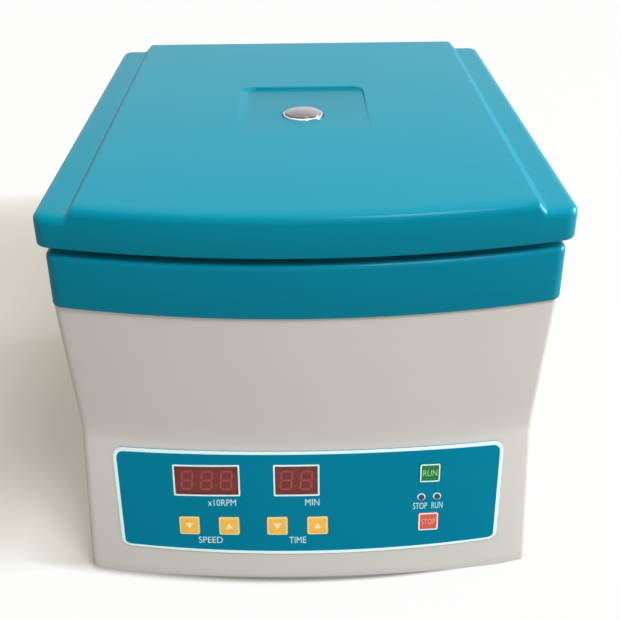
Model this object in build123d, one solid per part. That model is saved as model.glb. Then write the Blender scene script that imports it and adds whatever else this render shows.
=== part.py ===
from build123d import *
import math
import os

# Microplate centrifuge, closed, standing on the bench.
# Frame: millimetres, +X right, +Y to the back, +Z up, origin under the middle of the machine at bench height.

# ------------------------------------------------------------------ casing, overall
WIDTH = 306.0  # lid, side to side
DEPTH = 380.0  # lid, crown of the bowed front to the back
BOW_RADIUS = 560.0  # plan radius of the bowed front
FOOT_HEIGHT = 5.0
ARCH_RISE = 5.0  # rise of the lower edge of the front in the middle
ARCH_HALF_WIDTH = 125.0
HOUSING_HEIGHT = 202.0
COLLAR_HEIGHT = 34.0
LID_GAP = 4.5  # dark gap between the collar and the lid
LID_SIDE_HEIGHT = 21.5
PLATEAU_RISE = 6.0
FIT = 0.05  # radial play of a running or plugged-in round piece
PLAY = 0.4  # play all round a piece that drops into an opening

# ------------------------------------------------------------------ casing, walls
WALL = 3.5
BASE_SIDE_INSET = 5.0  # lower housing, set in from the lid at its bottom edge
BASE_FRONT_INSET = 5.7
WAIST_HEIGHT = 107.0  # waist above the bottom edge
WAIST_SIDE_INSET = 8.0
WAIST_FRONT_INSET = 16.0
HOUSING_TOP_SIDE_INSET = 4.8
HOUSING_TOP_FRONT_INSET = 3.5
COLLAR_SIDE_INSET = 4.2
COLLAR_FRONT_INSET = 2.2
REAR_OVERHANG = 16.0  # lid past the collar at the back
HOUSING_CORNER = 7.0
COLLAR_EDGE = 4.5
LID_CORNER = 8.0
TONGUE_DEPTH = 6.0  # collar tongue inside the housing
TONGUE_WALL = 2.0
BASE_PLATE_THICKNESS = 2.5
VENT_LENGTH = 70.0
VENT_WIDTH = 4.0
VENT_PITCH = 10.0
VENT_COUNT = 6
VENT_FROM_SIDE = 55.0

FOOT_RADIUS = 12.0
FOOT_FROM_SIDE = 32.0
FOOT_FROM_FRONT = 58.0
FOOT_FROM_BACK = 42.0
BOSS_RADIUS = 6.0
BOSS_HEIGHT = 18.0
SCREW_RADIUS = 1.8
SCREW_HEAD_RADIUS = 3.4
SCREW_HEAD_HEIGHT = 2.0
BASE_SCREW_LENGTH = 14.0

# ------------------------------------------------------------------ lid
PLATEAU_HALF_WIDTH = 128.0
PLATEAU_SLOPE_RUN = 5.0
LID_EDGE = 4.0  # rounding along the rails
RAIL_EDGE_SHARE = 0.8  # most of a rail that its rounding takes
RAIL_CORNER_SHARE = 0.9
LEAST_CORNER = 0.5
PLATEAU_EDGE = 5.0  # rounding along the front and back of the raised middle
RECESS_HALF_WIDTH = 45.0
RECESS_AHEAD = 37.5  # front of the ramp from the sight glass
RECESS_BEHIND = 65.5  # back of the ramp from the sight glass
RECESS_DEPTH = 2.0  # at the back, fading to nothing at the front
RECESS_CORNER = 10.0
LINER_THICKNESS = 2.5
LINER_RISE = 0.5  # liner above the bottom edge of the lid
LINER_SINK = 1.6  # screw heads sunk into the liner
LINER_REAR_INSET = 18.0
LID_SCREW_FROM_SIDE = 12.0
LID_SCREW_FROM_FRONT = 45.0
LID_SCREW_FROM_BACK = 50.0
LID_SCREW_LENGTH = 12.0
LID_BOSS_RADIUS = 5.0

SIGHT_RADIUS = 14.0  # outside of the bezel
BEZEL_WALL = 2.5
BEZEL_LEDGE = 1.5
BEZEL_PROUD = 0.8
BEZEL_DEPTH = 10.0
LENS_EDGE_THICKNESS = 2.6
LENS_DOME = 2.2
TUBE_WALL = 2.0

# ------------------------------------------------------------------ hinge
HINGE_FROM_SIDE = 55.0
HINGE_FROM_BACK = 9.0  # axis in front of the back of the lid
HINGE_ABOVE_EDGE = 2.5  # axis above the bottom edge of the lid
KNUCKLE_RADIUS = 4.0
FIXED_KNUCKLE = 12.0
LID_KNUCKLE = 8.0
KNUCKLE_GAP = 0.3
PIN_RADIUS = 2.0
BRACKET_THICKNESS = 2.5
BRACKET_HEIGHT = 20.0
LEAF_THICKNESS = 4.0
LEAF_FLANGE_DEPTH = 22.0
LEAF_FLANGE_THICKNESS = 2.5
HINGE_SCREW_SPACING = 20.0
HINGE_SCREW_DROP = 14.0
HINGE_SCREW_LENGTH = 3.0

# ------------------------------------------------------------------ chamber and rotor
AXIS_FROM_FRONT = 177.5  # rotor axis, under the sight glass
DECK_THICKNESS = 4.0
OPENING_RADIUS = 129.0
BOWL_RADIUS = 130.5  # inside
BOWL_WALL = 1.5
BOWL_DEPTH = 97.0  # deck underside to the chamber floor
BOWL_SEAM = 0.4  # gap between the quarters of the wall
BOWL_FLANGE = 6.0
BOWL_FLANGE_THICKNESS = 2.0
BOWL_SCREWS = 8
BOWL_SCREW_LENGTH = 3.0
BOWL_HOLE_RADIUS = 16.0
GASKET_WIDTH = 4.0
GASKET_OFFSET = 2.0
GASKET_CLEARANCE = 0.3
BOOT_FLANGE_RADIUS = 26.0
BOOT_FLANGE_THICKNESS = 2.0
BOOT_BASE_RADIUS = 20.0
BOOT_TOP_RADIUS = 9.0
BOOT_HEIGHT = 18.0
BOOT_CLEARANCE = 0.8

PLATE_LENGTH = 127.76  # standard microplate footprint
PLATE_WIDTH = 85.48
PLATE_PLAY = 0.32
CARRIER_WALL = 1.5
CARRIER_FLOOR = 2.0
CARRIER_RIM = 10.0
CARRIER_CORNER = 3.0
CARRIER_NOTCH = 34.0
CARRIER_NOTCH_DEPTH = 7.0
PIVOT_RISE = 14.0  # pivot above the carrier floor
PIVOT_RADIUS = 58.0  # pivot from the rotor axis
PIVOT_HEIGHT = 53.0  # pivot above the chamber floor
PIVOT_BOSS_RADIUS = 7.0
PIVOT_BOSS_LENGTH = 2.0
PIVOT_PIN_RADIUS = 3.0
PIVOT_EAR_WIDTH = 24.0
RAIL_GAP = 0.5
RAIL_THICKNESS = 7.0
RAIL_HEIGHT = 20.0
RAIL_PAST_PIVOT = 8.0
WEB_WIDTH = 20.0
WEB_HEIGHT = 16.0
HUB_RADIUS = 11.0
HUB_HEIGHT = 30.0
NUT_RADIUS = 10.0
NUT_HEIGHT = 13.0
NUT_GRIPS = 10
NUT_GRIP_RADIUS = 1.2
THREAD_RADIUS = 4.0
THREAD_LENGTH = 9.0

# ------------------------------------------------------------------ motor
SHAFT_RADIUS = 5.0
SHAFT_SHOULDER = 8.0
SHOULDER_LENGTH = 5.0
MOUNT_HEIGHT = 18.0
MOUNT_RADIUS = 10.0
MOUNT_CIRCLE = 62.0
MOUNTS = 4
MOUNT_PLATE_RADIUS = 74.0
MOUNT_PLATE_THICKNESS = 3.0
MOUNT_BOLT_RADIUS = 3.0
MOUNT_BOLT_LENGTH = 12.0
MOUNT_BOLT_HEAD = 5.0
MOUNT_BOLT_HEAD_HEIGHT = 4.0
MOTOR_RADIUS = 50.0
MOTOR_WALL = 4.0
MOTOR_BARREL = 66.0
MOTOR_CAP = 12.0
BEARING_RADIUS = 15.0
BEARING_WIDTH = 9.0
BEARING_BORE_PLAY = 0.02
STATOR_WALL = 17.0
STATOR_LENGTH = 48.0
CORE_GAP = 1.0
CORE_LENGTH = 44.0
FAN_RADIUS = 44.0
FAN_HUB_RADIUS = 12.0
FAN_HEIGHT = 9.0
FAN_PLATE = 2.0
FAN_BLADES = 9
FAN_BLADE_THICKNESS = 1.6
FAN_ABOVE_CAP = 4.0
SENSOR_SIZE = 8.0
SENSOR_HEIGHT = 3.0
SENSOR_CIRCLE = 32.0

# ------------------------------------------------------------------ lid lock
LOCK_FROM_FRONT = 29.0
LOCK_DROP = 10.0  # bolt centre below the deck underside
BOLT_RADIUS = 3.0
BOLT_LENGTH = 30.0
BOLT_START = 5.0  # bolt tip from the middle when drawn back
STRIKER_THICKNESS = 3.0
STRIKER_WIDTH = 14.0
STRIKER_PAST_BOLT = 6.0
STRIKER_HOLE_PLAY = 1.0
SLOT_PLAY = 3.0
SOLENOID_START = 14.0
SOLENOID_LENGTH = 32.0
SOLENOID_WIDTH = 20.0
SOLENOID_HEIGHT = 16.0
SOLENOID_PLATE = 2.0
SOLENOID_PLATE_MARGIN = 5.0

# ------------------------------------------------------------------ front panel
PANEL_TOP_HALF_WIDTH = 125.3
PANEL_BOTTOM_HALF_WIDTH = 124.2
PANEL_TOP = 106.0
PANEL_BOTTOM = 29.3
PANEL_TOP_DROOP = 4.5  # fall of the top edge from the middle to the ends
PANEL_BOTTOM_DROOP = 1.7
PANEL_CORNER = 6.5
PANEL_THICKNESS = 0.6
PANEL_FILM = 0.05  # adhesive behind the overlay
ROW_RADIUS = 1160.0  # rows of the panel curve down to both sides on this radius
KEY_SIDE = 13.5
KEY_CORNER = 1.2
KEY_PROUD = 0.9
KEY_PLAY = 0.25
KEY_FLANGE = 0.6
KEY_FLANGE_THICKNESS = 1.0
KEY_FLANGE_DEPTH = 0.7  # flange below the outer face of the wall
KEY_TRAVEL = 0.5
KEY_STOP = 0.1  # left under a key that is pressed
KEY_ROW = 51.0
RUN_ROW = 87.6
LAMP_ROW = 70.0
WINDOW_ROW = 85.0
SPEED_DOWN_X = -78.1
SPEED_UP_X = -52.0
TIME_DOWN_X = -20.8
TIME_UP_X = 5.1
COMMAND_X = 77.4
LAMP_SPACING = 10.4
LAMP_RADIUS = 1.9
LAMP_PROUD = 0.9
SPEED_WINDOW_X = -65.4
TIME_WINDOW_X = -8.0
WINDOW_HEIGHT = 22.8
SPEED_WINDOW_WIDTH = 43.0
TIME_WINDOW_WIDTH = 29.0
WINDOW_PROUD = 0.2
WINDOW_LAP = 1.5  # window over the edge of the opening behind it
DIGIT_PITCH = 12.7
DIGIT_WIDTH = 12.5
DIGIT_HEIGHT = 19.0
DIGIT_DEPTH = 8.0
DIGIT_SETBACK = 0.9
SPEED_DIGITS = 3
TIME_DIGITS = 2
BOARD_THICKNESS = 1.6
BOARD_MARGIN = 6.0
MEMBRANE_THICKNESS = 0.8
MEMBRANE_MARGIN = 4.0
DOME_RADIUS = 4.0

# ------------------------------------------------------------------ back panel and boards
INLET_FROM_SIDE = 54.0
INLET_Z = 62.0
INLET_FLANGE_WIDTH = 32.0
INLET_FLANGE_HEIGHT = 42.0
INLET_FLANGE_THICKNESS = 2.5
INLET_BODY_WIDTH = 27.0
INLET_BODY_HEIGHT = 36.0
INLET_BODY_DEPTH = 26.0
SOCKET_WIDTH = 22.5
SOCKET_HEIGHT = 15.5
SOCKET_DEPTH = 16.0
SOCKET_RISE = 6.5
BLADE_WIDTH = 2.0
BLADE_HEIGHT = 4.0
BLADE_LENGTH = 11.0
BLADE_SPACING = 7.0
FUSE_WIDTH = 22.0
FUSE_HEIGHT = 9.0
FUSE_DEPTH = 14.0
FUSE_DROP = 10.5
SWITCH_SPACING = 40.0  # switch beside the inlet
SWITCH_WIDTH = 15.0
SWITCH_HEIGHT = 28.0
SWITCH_FLANGE = 2.0
SWITCH_DEPTH = 18.0
ROCKER_WIDTH = 10.0
ROCKER_HEIGHT = 20.0
ROCKER_THICKNESS = 5.0
ROCKER_SETBACK = 3.0
ROCKER_TILT = 8.0
ROCKER_PLAY = 0.5
ROCKER_PIN_RADIUS = 1.2
ROCKER_PIN_PROUD = 0.4  # pin past each side of the rocker

TRANSFORMER_FROM_SIDE = 58.0
TRANSFORMER_FROM_BACK = 72.0
TRANSFORMER_CORE = (64.0, 40.0, 54.0)
TRANSFORMER_COIL = (36.0, 62.0, 30.0)
STANDOFF_RADIUS = 3.0
STANDOFF_HEIGHT = 8.0
STANDOFF_INSET = 6.0
POWER_BOARD_FROM_SIDE = 66.0
POWER_BOARD_FROM_BACK = 86.0
POWER_BOARD_SIZE = (84.0, 66.0)
CONTROL_BOARD_FROM_SIDE = 82.0
CONTROL_BOARD_FROM_FRONT = 76.0
CONTROL_BOARD_SIZE = (70.0, 40.0)
CAPACITOR_RADIUS = 11.0
CAPACITOR_HEIGHT = 32.0
HEATSINK_SIZE = (40.0, 12.0, 28.0)
CHIP_SIZE = (18.0, 14.0, 2.5)
CONNECTOR_SIZE = (24.0, 7.0, 9.0)

# ------------------------------------------------------------------ levels and places worked out from them
HOUSING_BOTTOM = FOOT_HEIGHT
WAIST_Z = HOUSING_BOTTOM + WAIST_HEIGHT
COLLAR_BOTTOM = HOUSING_BOTTOM + HOUSING_HEIGHT
DECK_TOP = COLLAR_BOTTOM + COLLAR_HEIGHT
DECK_UNDERSIDE = DECK_TOP - DECK_THICKNESS
LID_BOTTOM = DECK_TOP + LID_GAP
RAIL_TOP = LID_BOTTOM + LID_SIDE_HEIGHT
LID_TOP = RAIL_TOP + PLATEAU_RISE
LID_CEILING = LID_TOP - WALL
LINER_BOTTOM = LID_BOTTOM + LINER_RISE
LINER_TOP = LINER_BOTTOM + LINER_THICKNESS
BASE_TOP = HOUSING_BOTTOM + BASE_PLATE_THICKNESS
BOW_CENTRE_Y = BOW_RADIUS - DEPTH / 2
HOUSING_REAR_INSET = REAR_OVERHANG + HOUSING_TOP_FRONT_INSET - COLLAR_FRONT_INSET
SIDE_INSETS = (BASE_SIDE_INSET, WAIST_SIDE_INSET, HOUSING_TOP_SIDE_INSET)
FRONT_INSETS = (BASE_FRONT_INSET, WAIST_FRONT_INSET, HOUSING_TOP_FRONT_INSET)
COLLAR_REAR_Y = DEPTH / 2 - REAR_OVERHANG
HOUSING_REAR_Y = DEPTH / 2 - HOUSING_REAR_INSET
FRONT_Y = -DEPTH / 2
BACK_Y = DEPTH / 2
SIDE_X = WIDTH / 2
AXIS_Y = FRONT_Y + AXIS_FROM_FRONT
RECESS_FRONT_Y = AXIS_Y - RECESS_AHEAD
RECESS_BACK_Y = AXIS_Y + RECESS_BEHIND
VENT_X = SIDE_X - VENT_FROM_SIDE
HINGE_X = SIDE_X - HINGE_FROM_SIDE
LOCK_Y = FRONT_Y + LOCK_FROM_FRONT
INLET_X = SIDE_X - INLET_FROM_SIDE
SWITCH_X = INLET_X - SWITCH_SPACING
TRANSFORMER_X = TRANSFORMER_FROM_SIDE - SIDE_X
TRANSFORMER_Y = BACK_Y - TRANSFORMER_FROM_BACK
POWER_BOARD_X = SIDE_X - POWER_BOARD_FROM_SIDE
POWER_BOARD_Y = BACK_Y - POWER_BOARD_FROM_BACK
CONTROL_BOARD_X = CONTROL_BOARD_FROM_SIDE - SIDE_X
CONTROL_BOARD_Y = FRONT_Y + CONTROL_BOARD_FROM_FRONT
LID_SCREW_X = SIDE_X - LID_SCREW_FROM_SIDE
LID_SCREW_ROWS = (FRONT_Y + LID_SCREW_FROM_FRONT, AXIS_Y, BACK_Y - LID_SCREW_FROM_BACK)
FOOT_X = SIDE_X - FOOT_FROM_SIDE
FOOT_FRONT_Y = FRONT_Y + FOOT_FROM_FRONT
FOOT_REAR_Y = BACK_Y - FOOT_FROM_BACK
FEET = [(side * FOOT_X, y) for side in (-1, 1) for y in (FOOT_FRONT_Y, FOOT_REAR_Y)]

CHAMBER_FLOOR = DECK_UNDERSIDE - BOWL_DEPTH
PIVOT_Z = CHAMBER_FLOOR + PIVOT_HEIGHT
POCKET_LENGTH = PLATE_LENGTH + 2 * PLATE_PLAY
POCKET_WIDTH = PLATE_WIDTH + 2 * PLATE_PLAY
CARRIER_LENGTH = POCKET_LENGTH + 2 * CARRIER_WALL
CARRIER_WIDTH = POCKET_WIDTH + 2 * CARRIER_WALL
RAIL_X = CARRIER_LENGTH / 2 + PIVOT_BOSS_LENGTH + RAIL_GAP + RAIL_THICKNESS / 2
HUB_BOTTOM = PIVOT_Z - HUB_HEIGHT / 2
HUB_TOP = PIVOT_Z + HUB_HEIGHT / 2

MOUNT_TOP = BASE_TOP + MOUNT_HEIGHT
MOTOR_BOTTOM = MOUNT_TOP + MOUNT_PLATE_THICKNESS
BARREL_BOTTOM = MOTOR_BOTTOM + MOTOR_CAP
BARREL_TOP = BARREL_BOTTOM + MOTOR_BARREL
MOTOR_TOP = BARREL_TOP + MOTOR_CAP
STATOR_RADIUS = MOTOR_RADIUS - MOTOR_WALL - FIT
CORE_RADIUS = STATOR_RADIUS - STATOR_WALL - CORE_GAP
FAN_BOTTOM = MOTOR_TOP + FAN_ABOVE_CAP

HINGE_Y = DEPTH / 2 - HINGE_FROM_BACK
HINGE_Z = LID_BOTTOM + HINGE_ABOVE_EDGE
HINGE_HALF = FIXED_KNUCKLE / 2 + KNUCKLE_GAP + LID_KNUCKLE
LOCK_Z = DECK_UNDERSIDE - LOCK_DROP

UP = (Align.CENTER, Align.CENTER, Align.MIN)
DOWN = (Align.CENTER, Align.CENTER, Align.MAX)
OUTWARD = (Align.CENTER, Align.MIN, Align.CENTER)
INWARD = (Align.CENTER, Align.MAX, Align.CENTER)


# ------------------------------------------------------------------ helpers
def drum(radius, bottom, top, x=0.0, y=0.0):
    """Upright cylinder between two heights."""
    return Pos(x, y, bottom) * Cylinder(radius, top - bottom, align=UP)


def tube(outer, inner, bottom, top, x=0.0, y=0.0):
    """Upright ring between two heights."""
    return drum(outer, bottom, top, x, y) - drum(inner, bottom, top, x, y)


def rod(radius, x_from, x_to, y, z):
    """Cylinder along X between two places."""
    return Pos((x_from + x_to) / 2, y, z) * Rot(0, 90, 0) * Cylinder(radius, abs(x_to - x_from))


def ring_of(count, radius, start=0.0):
    """Places evenly spaced on a circle about the rotor axis."""
    angles = [math.radians(start + 360 * index / count) for index in range(count)]
    return [(radius * math.cos(angle), AXIS_Y + radius * math.sin(angle)) for angle in angles]


def plan(side_inset, front_inset, rear_inset, corner):
    """Plan outline with straight sides and back and a front curved about the bow centre."""
    half = WIDTH / 2 - side_inset
    radius = BOW_RADIUS - front_inset
    shoulder = BOW_CENTRE_Y - math.sqrt(radius**2 - half**2)
    rear = DEPTH / 2 - rear_inset
    front = ThreePointArc((-half, shoulder), (0, BOW_CENTRE_Y - radius), (half, shoulder))
    rest = Polyline((half, shoulder), (half, rear), (-half, rear), (-half, shoulder))
    outline = make_face((front + rest).edges())
    return fillet(outline.vertices(), corner)


def slab(outline, bottom, top):
    """Plan outline raised between two heights."""
    return Pos(0, 0, bottom) * extrude(outline, top - bottom)


def housing_inset(z, insets):
    """Inset of the lower housing at a height, straight from the waist to both edges."""
    base_inset, waist_inset, top_inset = insets
    if z > WAIST_Z:
        share = (z - WAIST_Z) / (COLLAR_BOTTOM - WAIST_Z)
        return waist_inset + (top_inset - waist_inset) * share
    share = (z - HOUSING_BOTTOM) / WAIST_HEIGHT
    return base_inset + (waist_inset - base_inset) * share


def housing_plan(z, inward=0.0):
    """Plan outline of the lower housing at a height, moved inward by a wall or a clearance."""
    return plan(
        housing_inset(z, SIDE_INSETS) + inward,
        housing_inset(z, FRONT_INSETS) + inward,
        HOUSING_REAR_INSET + inward,
        HOUSING_CORNER - inward,
    )


def housing_block(bottom, top, inward=0.0):
    """Solid between two heights that follows the waisted sides of the lower housing."""
    return loft([Pos(0, 0, z) * housing_plan(z, inward) for z in (bottom, WAIST_Z, top)], ruled=True)


# ------------------------------------------------------------------ front panel geometry
PANEL_SLOPE = (WAIST_FRONT_INSET - BASE_FRONT_INSET) / WAIST_HEIGHT
PANEL_LEAN = math.atan(PANEL_SLOPE)


def panel_radius(z):
    """Radius of the panel's face about the bow axis at a height below the waist."""
    return BOW_RADIUS - housing_inset(z, FRONT_INSETS)


def row_height(row, across):
    """Height of a row of the panel at a distance across, with its curve down to the sides."""
    return row - across**2 / (2 * ROW_RADIUS)


def panel_frame(across, row, out=0.0):
    """Location on the panel's face: X across, Y up the panel, Z straight out of it."""
    z = row_height(row, across)
    radius = panel_radius(z)
    turn = across / radius
    across_way = Vector(math.cos(turn), math.sin(turn), 0)
    out_way = Vector(
        math.sin(turn) * math.cos(PANEL_LEAN), -math.cos(turn) * math.cos(PANEL_LEAN), math.sin(PANEL_LEAN)
    )
    face = Vector(radius * math.sin(turn), BOW_CENTRE_Y - radius * math.cos(turn), z)
    tilt = -math.degrees(across / ROW_RADIUS)
    return Plane(origin=face + out_way * out, x_dir=across_way, z_dir=out_way).location * Rot(0, 0, tilt)


def panel_layer(near, far):
    """Curved layer along the panel between two distances out of its face."""
    low = HOUSING_BOTTOM
    high = WAIST_Z
    out_share = math.cos(PANEL_LEAN)
    ends = [(near, low), (near, high), (far, high), (far, low)]
    profile = Polygon([(panel_radius(z) + out / out_share, z) for out, z in ends], align=None)
    span = math.degrees(WIDTH / BOW_RADIUS)
    band = revolve(Plane.XZ * profile, Axis.Z, revolution_arc=span)
    return Pos(0, BOW_CENTRE_Y, 0) * Rot(0, 0, -90 - span / 2) * band


def panel_block(across, row, width, height, near, far, corner=0.0):
    """Block that stands square on the panel's face between two distances out of it."""
    shape = RectangleRounded(width, height, corner) if corner else Rectangle(width, height)
    return panel_frame(across, row, near) * extrude(shape, far - near)


def panel_disc(across, row, radius, near, far):
    """Disc that stands square on the panel's face."""
    return panel_frame(across, row, near) * Cylinder(radius, far - near, align=UP)


KEYS = {
    "speed_down_key": (SPEED_DOWN_X, KEY_ROW),
    "speed_up_key": (SPEED_UP_X, KEY_ROW),
    "time_down_key": (TIME_DOWN_X, KEY_ROW),
    "time_up_key": (TIME_UP_X, KEY_ROW),
    "run_key": (COMMAND_X, RUN_ROW),
    "stop_key": (COMMAND_X, KEY_ROW),
}
WINDOWS = {
    "speed": (SPEED_WINDOW_X, SPEED_WINDOW_WIDTH, SPEED_DIGITS),
    "time": (TIME_WINDOW_X, TIME_WINDOW_WIDTH, TIME_DIGITS),
}
LAMPS = [(COMMAND_X + side * LAMP_SPACING / 2, LAMP_ROW) for side in (-1, 1)]
FLANGE_SIDE = KEY_SIDE + 2 * KEY_FLANGE
KEY_HOLE_SIDE = FLANGE_SIDE + 2 * KEY_PLAY
FLANGE_BOTTOM = -KEY_FLANGE_DEPTH - KEY_FLANGE_THICKNESS
DOME_TOP = FLANGE_BOTTOM - KEY_TRAVEL - KEY_STOP
MEMBRANE_FRONT = -WALL - PANEL_FILM
DIGIT_BACK = -DIGIT_SETBACK - DIGIT_DEPTH
BOARD_BACK = DIGIT_BACK - BOARD_THICKNESS


# ------------------------------------------------------------------ casing
def front_arch():
    """Room under the slightly arched lower edge of the front, through the front wall alone."""
    radius = (ARCH_HALF_WIDTH**2 + ARCH_RISE**2) / (2 * ARCH_RISE)
    front_radius = BOW_RADIUS - BASE_FRONT_INSET - WALL
    reach = BOW_CENTRE_Y - math.sqrt(front_radius**2 - ARCH_HALF_WIDTH**2) + DEPTH / 2 + WALL
    low = HOUSING_BOTTOM + ARCH_RISE - radius
    return Pos(0, -DEPTH / 2, low) * Rot(-90, 0, 0) * Cylinder(radius, reach, align=UP)


def lower_housing():
    """Waisted shell, open at the top and the bottom, with the holes of both panels."""
    outside = housing_block(HOUSING_BOTTOM, COLLAR_BOTTOM)
    shell = outside - housing_block(HOUSING_BOTTOM - WALL, COLLAR_BOTTOM + WALL, WALL)
    shell -= front_arch()
    boss_top = BASE_TOP + BOSS_HEIGHT
    for x, y in FEET:
        boss = drum(BOSS_RADIUS, BASE_TOP, boss_top, x, y)
        reach = WIDTH / 2 - abs(x)
        side = math.copysign(1, x)
        boss += Pos(x + side * reach / 2, y, BASE_TOP) * Box(reach, BOSS_RADIUS, BOSS_HEIGHT, align=UP)
        boss -= drum(SCREW_RADIUS + FIT, BASE_TOP, boss_top, x, y)
        shell += boss & outside
    through = WALL + KEY_PROUD
    for across, row in KEYS.values():
        shell -= panel_block(across, row, KEY_HOLE_SIDE, KEY_HOLE_SIDE, -2 * WALL, through)
    for across, width, _ in WINDOWS.values():
        hole = (width - 2 * WINDOW_LAP, WINDOW_HEIGHT - 2 * WINDOW_LAP)
        shell -= panel_block(across, WINDOW_ROW, *hole, -3 * WALL, through)
    for across, row in LAMPS:
        shell -= panel_disc(across, row, LAMP_RADIUS + FIT, -2 * WALL, through)
    cuts = [
        (INLET_X, INLET_BODY_WIDTH, INLET_BODY_HEIGHT),
        (SWITCH_X, SWITCH_WIDTH - 2 * SWITCH_FLANGE, SWITCH_HEIGHT - 2 * SWITCH_FLANGE),
    ]
    for x, width, height in cuts:
        shell -= Pos(x, HOUSING_REAR_Y, INLET_Z) * Box(width + PLAY, 3 * WALL, height + PLAY)
    return shell


def collar_plan(inward=0.0):
    """Plan outline of the collar, moved inward by a wall or a clearance."""
    side, front, rear = COLLAR_SIDE_INSET + inward, COLLAR_FRONT_INSET + inward, REAR_OVERHANG + inward
    return plan(side, front, rear, HOUSING_CORNER - inward)


def upper_collar():
    """Collar with the deck round the chamber opening and a tongue inside the housing."""
    block = slab(collar_plan(), COLLAR_BOTTOM, DECK_TOP)
    rim = block.faces().sort_by(Axis.Z)[-1].edges()
    block = fillet(rim, COLLAR_EDGE)
    block -= slab(collar_plan(WALL + TONGUE_WALL), COLLAR_BOTTOM, DECK_UNDERSIDE)
    tongue_bottom = COLLAR_BOTTOM - TONGUE_DEPTH
    tongue_out = WALL + PLAY
    tongue = slab(housing_plan(tongue_bottom, tongue_out), tongue_bottom, COLLAR_BOTTOM)
    tongue -= slab(housing_plan(tongue_bottom, tongue_out + TONGUE_WALL), tongue_bottom, COLLAR_BOTTOM)
    collar = block + tongue
    collar -= drum(OPENING_RADIUS, DECK_UNDERSIDE, DECK_TOP, 0, AXIS_Y)
    slot = (STRIKER_THICKNESS + 2 * SLOT_PLAY, STRIKER_WIDTH + 2 * SLOT_PLAY)
    collar -= Pos(0, LOCK_Y, DECK_UNDERSIDE) * Box(*slot, DECK_THICKNESS, align=UP)
    for x, y in ring_of(BOWL_SCREWS, BOWL_SCREW_CIRCLE, BOWL_SCREW_START):
        collar -= drum(SCREW_RADIUS + FIT, DECK_UNDERSIDE, DECK_UNDERSIDE + BOWL_SCREW_LENGTH, x, y)
    for x, z in HINGE_SCREWS:
        collar -= Pos(x, COLLAR_REAR_Y, z) * Rot(90, 0, 0) * Cylinder(
            SCREW_RADIUS + FIT, HINGE_SCREW_LENGTH, align=UP
        )
    return collar


def base_plate():
    """Steel plate that closes the housing below and carries the motor and the boards."""
    plate = slab(housing_plan(HOUSING_BOTTOM, WALL + PLAY), HOUSING_BOTTOM, BASE_TOP)
    for x, y in FEET:
        plate -= drum(SCREW_RADIUS + FIT, HOUSING_BOTTOM, BASE_TOP, x, y)
    for side in (-1, 1):
        for index in range(VENT_COUNT):
            y = (index - (VENT_COUNT - 1) / 2) * VENT_PITCH + AXIS_Y
            cut = extrude(SlotOverall(VENT_LENGTH / 2, VENT_WIDTH), BASE_PLATE_THICKNESS)
            plate -= Pos(side * (VENT_X + VENT_WIDTH), y, HOUSING_BOTTOM) * cut
    return plate


def rubber_feet():
    """Four round feet, hollow for their screws."""
    feet = []
    for x, y in FEET:
        foot = drum(FOOT_RADIUS, 0, FOOT_HEIGHT, x, y)
        foot -= drum(SCREW_HEAD_RADIUS + PLAY, 0, FOOT_HEIGHT - SCREW_HEAD_HEIGHT, x, y)
        foot -= drum(SCREW_RADIUS + FIT, 0, FOOT_HEIGHT, x, y)
        feet.append(foot)
    return feet


def base_screws():
    """Screws through each foot and the base plate into the housing."""
    head_top = FOOT_HEIGHT - SCREW_HEAD_HEIGHT
    screws = []
    for x, y in FEET:
        head = drum(SCREW_HEAD_RADIUS, head_top - SCREW_HEAD_HEIGHT, head_top, x, y)
        screws.append(head + drum(SCREW_RADIUS, head_top, head_top + BASE_SCREW_LENGTH, x, y))
    return screws


# ------------------------------------------------------------------ chamber
BOWL_OUTSIDE = BOWL_RADIUS + BOWL_WALL
BOWL_SCREW_CIRCLE = BOWL_OUTSIDE + BOWL_FLANGE / 2
BOWL_SCREW_START = 22.5


def chamber_wall():
    """Rolled steel wall of the chamber, in four quarters between its floor and the deck."""
    wall = tube(BOWL_OUTSIDE, BOWL_RADIUS, CHAMBER_FLOOR, DECK_UNDERSIDE, 0, AXIS_Y)
    for turn in (0, 90):
        seam = Box(2 * BOWL_OUTSIDE, BOWL_SEAM, BOWL_DEPTH, align=UP)
        wall -= Pos(0, AXIS_Y, CHAMBER_FLOOR) * Rot(0, 0, turn) * seam
    return wall


def chamber_flange():
    """Ring round the top of the chamber wall, screwed up into the deck."""
    bottom = DECK_UNDERSIDE - BOWL_FLANGE_THICKNESS
    flange = tube(BOWL_OUTSIDE + BOWL_FLANGE, BOWL_OUTSIDE + FIT, bottom, DECK_UNDERSIDE, 0, AXIS_Y)
    for x, y in ring_of(BOWL_SCREWS, BOWL_SCREW_CIRCLE, BOWL_SCREW_START):
        flange -= drum(SCREW_RADIUS + FIT, bottom, DECK_UNDERSIDE, x, y)
    return flange


def chamber_floor():
    """Steel disc under the chamber wall with the hole of the shaft."""
    return tube(BOWL_OUTSIDE, BOWL_HOLE_RADIUS, CHAMBER_FLOOR - BOWL_WALL, CHAMBER_FLOOR, 0, AXIS_Y)


def bowl_screws():
    """Screws up through the chamber flange into the deck."""
    flange_bottom = DECK_UNDERSIDE - BOWL_FLANGE_THICKNESS
    head_radius = min(SCREW_HEAD_RADIUS, BOWL_FLANGE / 2 - FIT)
    screws = []
    for x, y in ring_of(BOWL_SCREWS, BOWL_SCREW_CIRCLE, BOWL_SCREW_START):
        head = drum(head_radius, flange_bottom - SCREW_HEAD_HEIGHT, flange_bottom, x, y)
        screws.append(head + drum(SCREW_RADIUS, flange_bottom, DECK_UNDERSIDE + BOWL_SCREW_LENGTH, x, y))
    return screws


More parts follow.
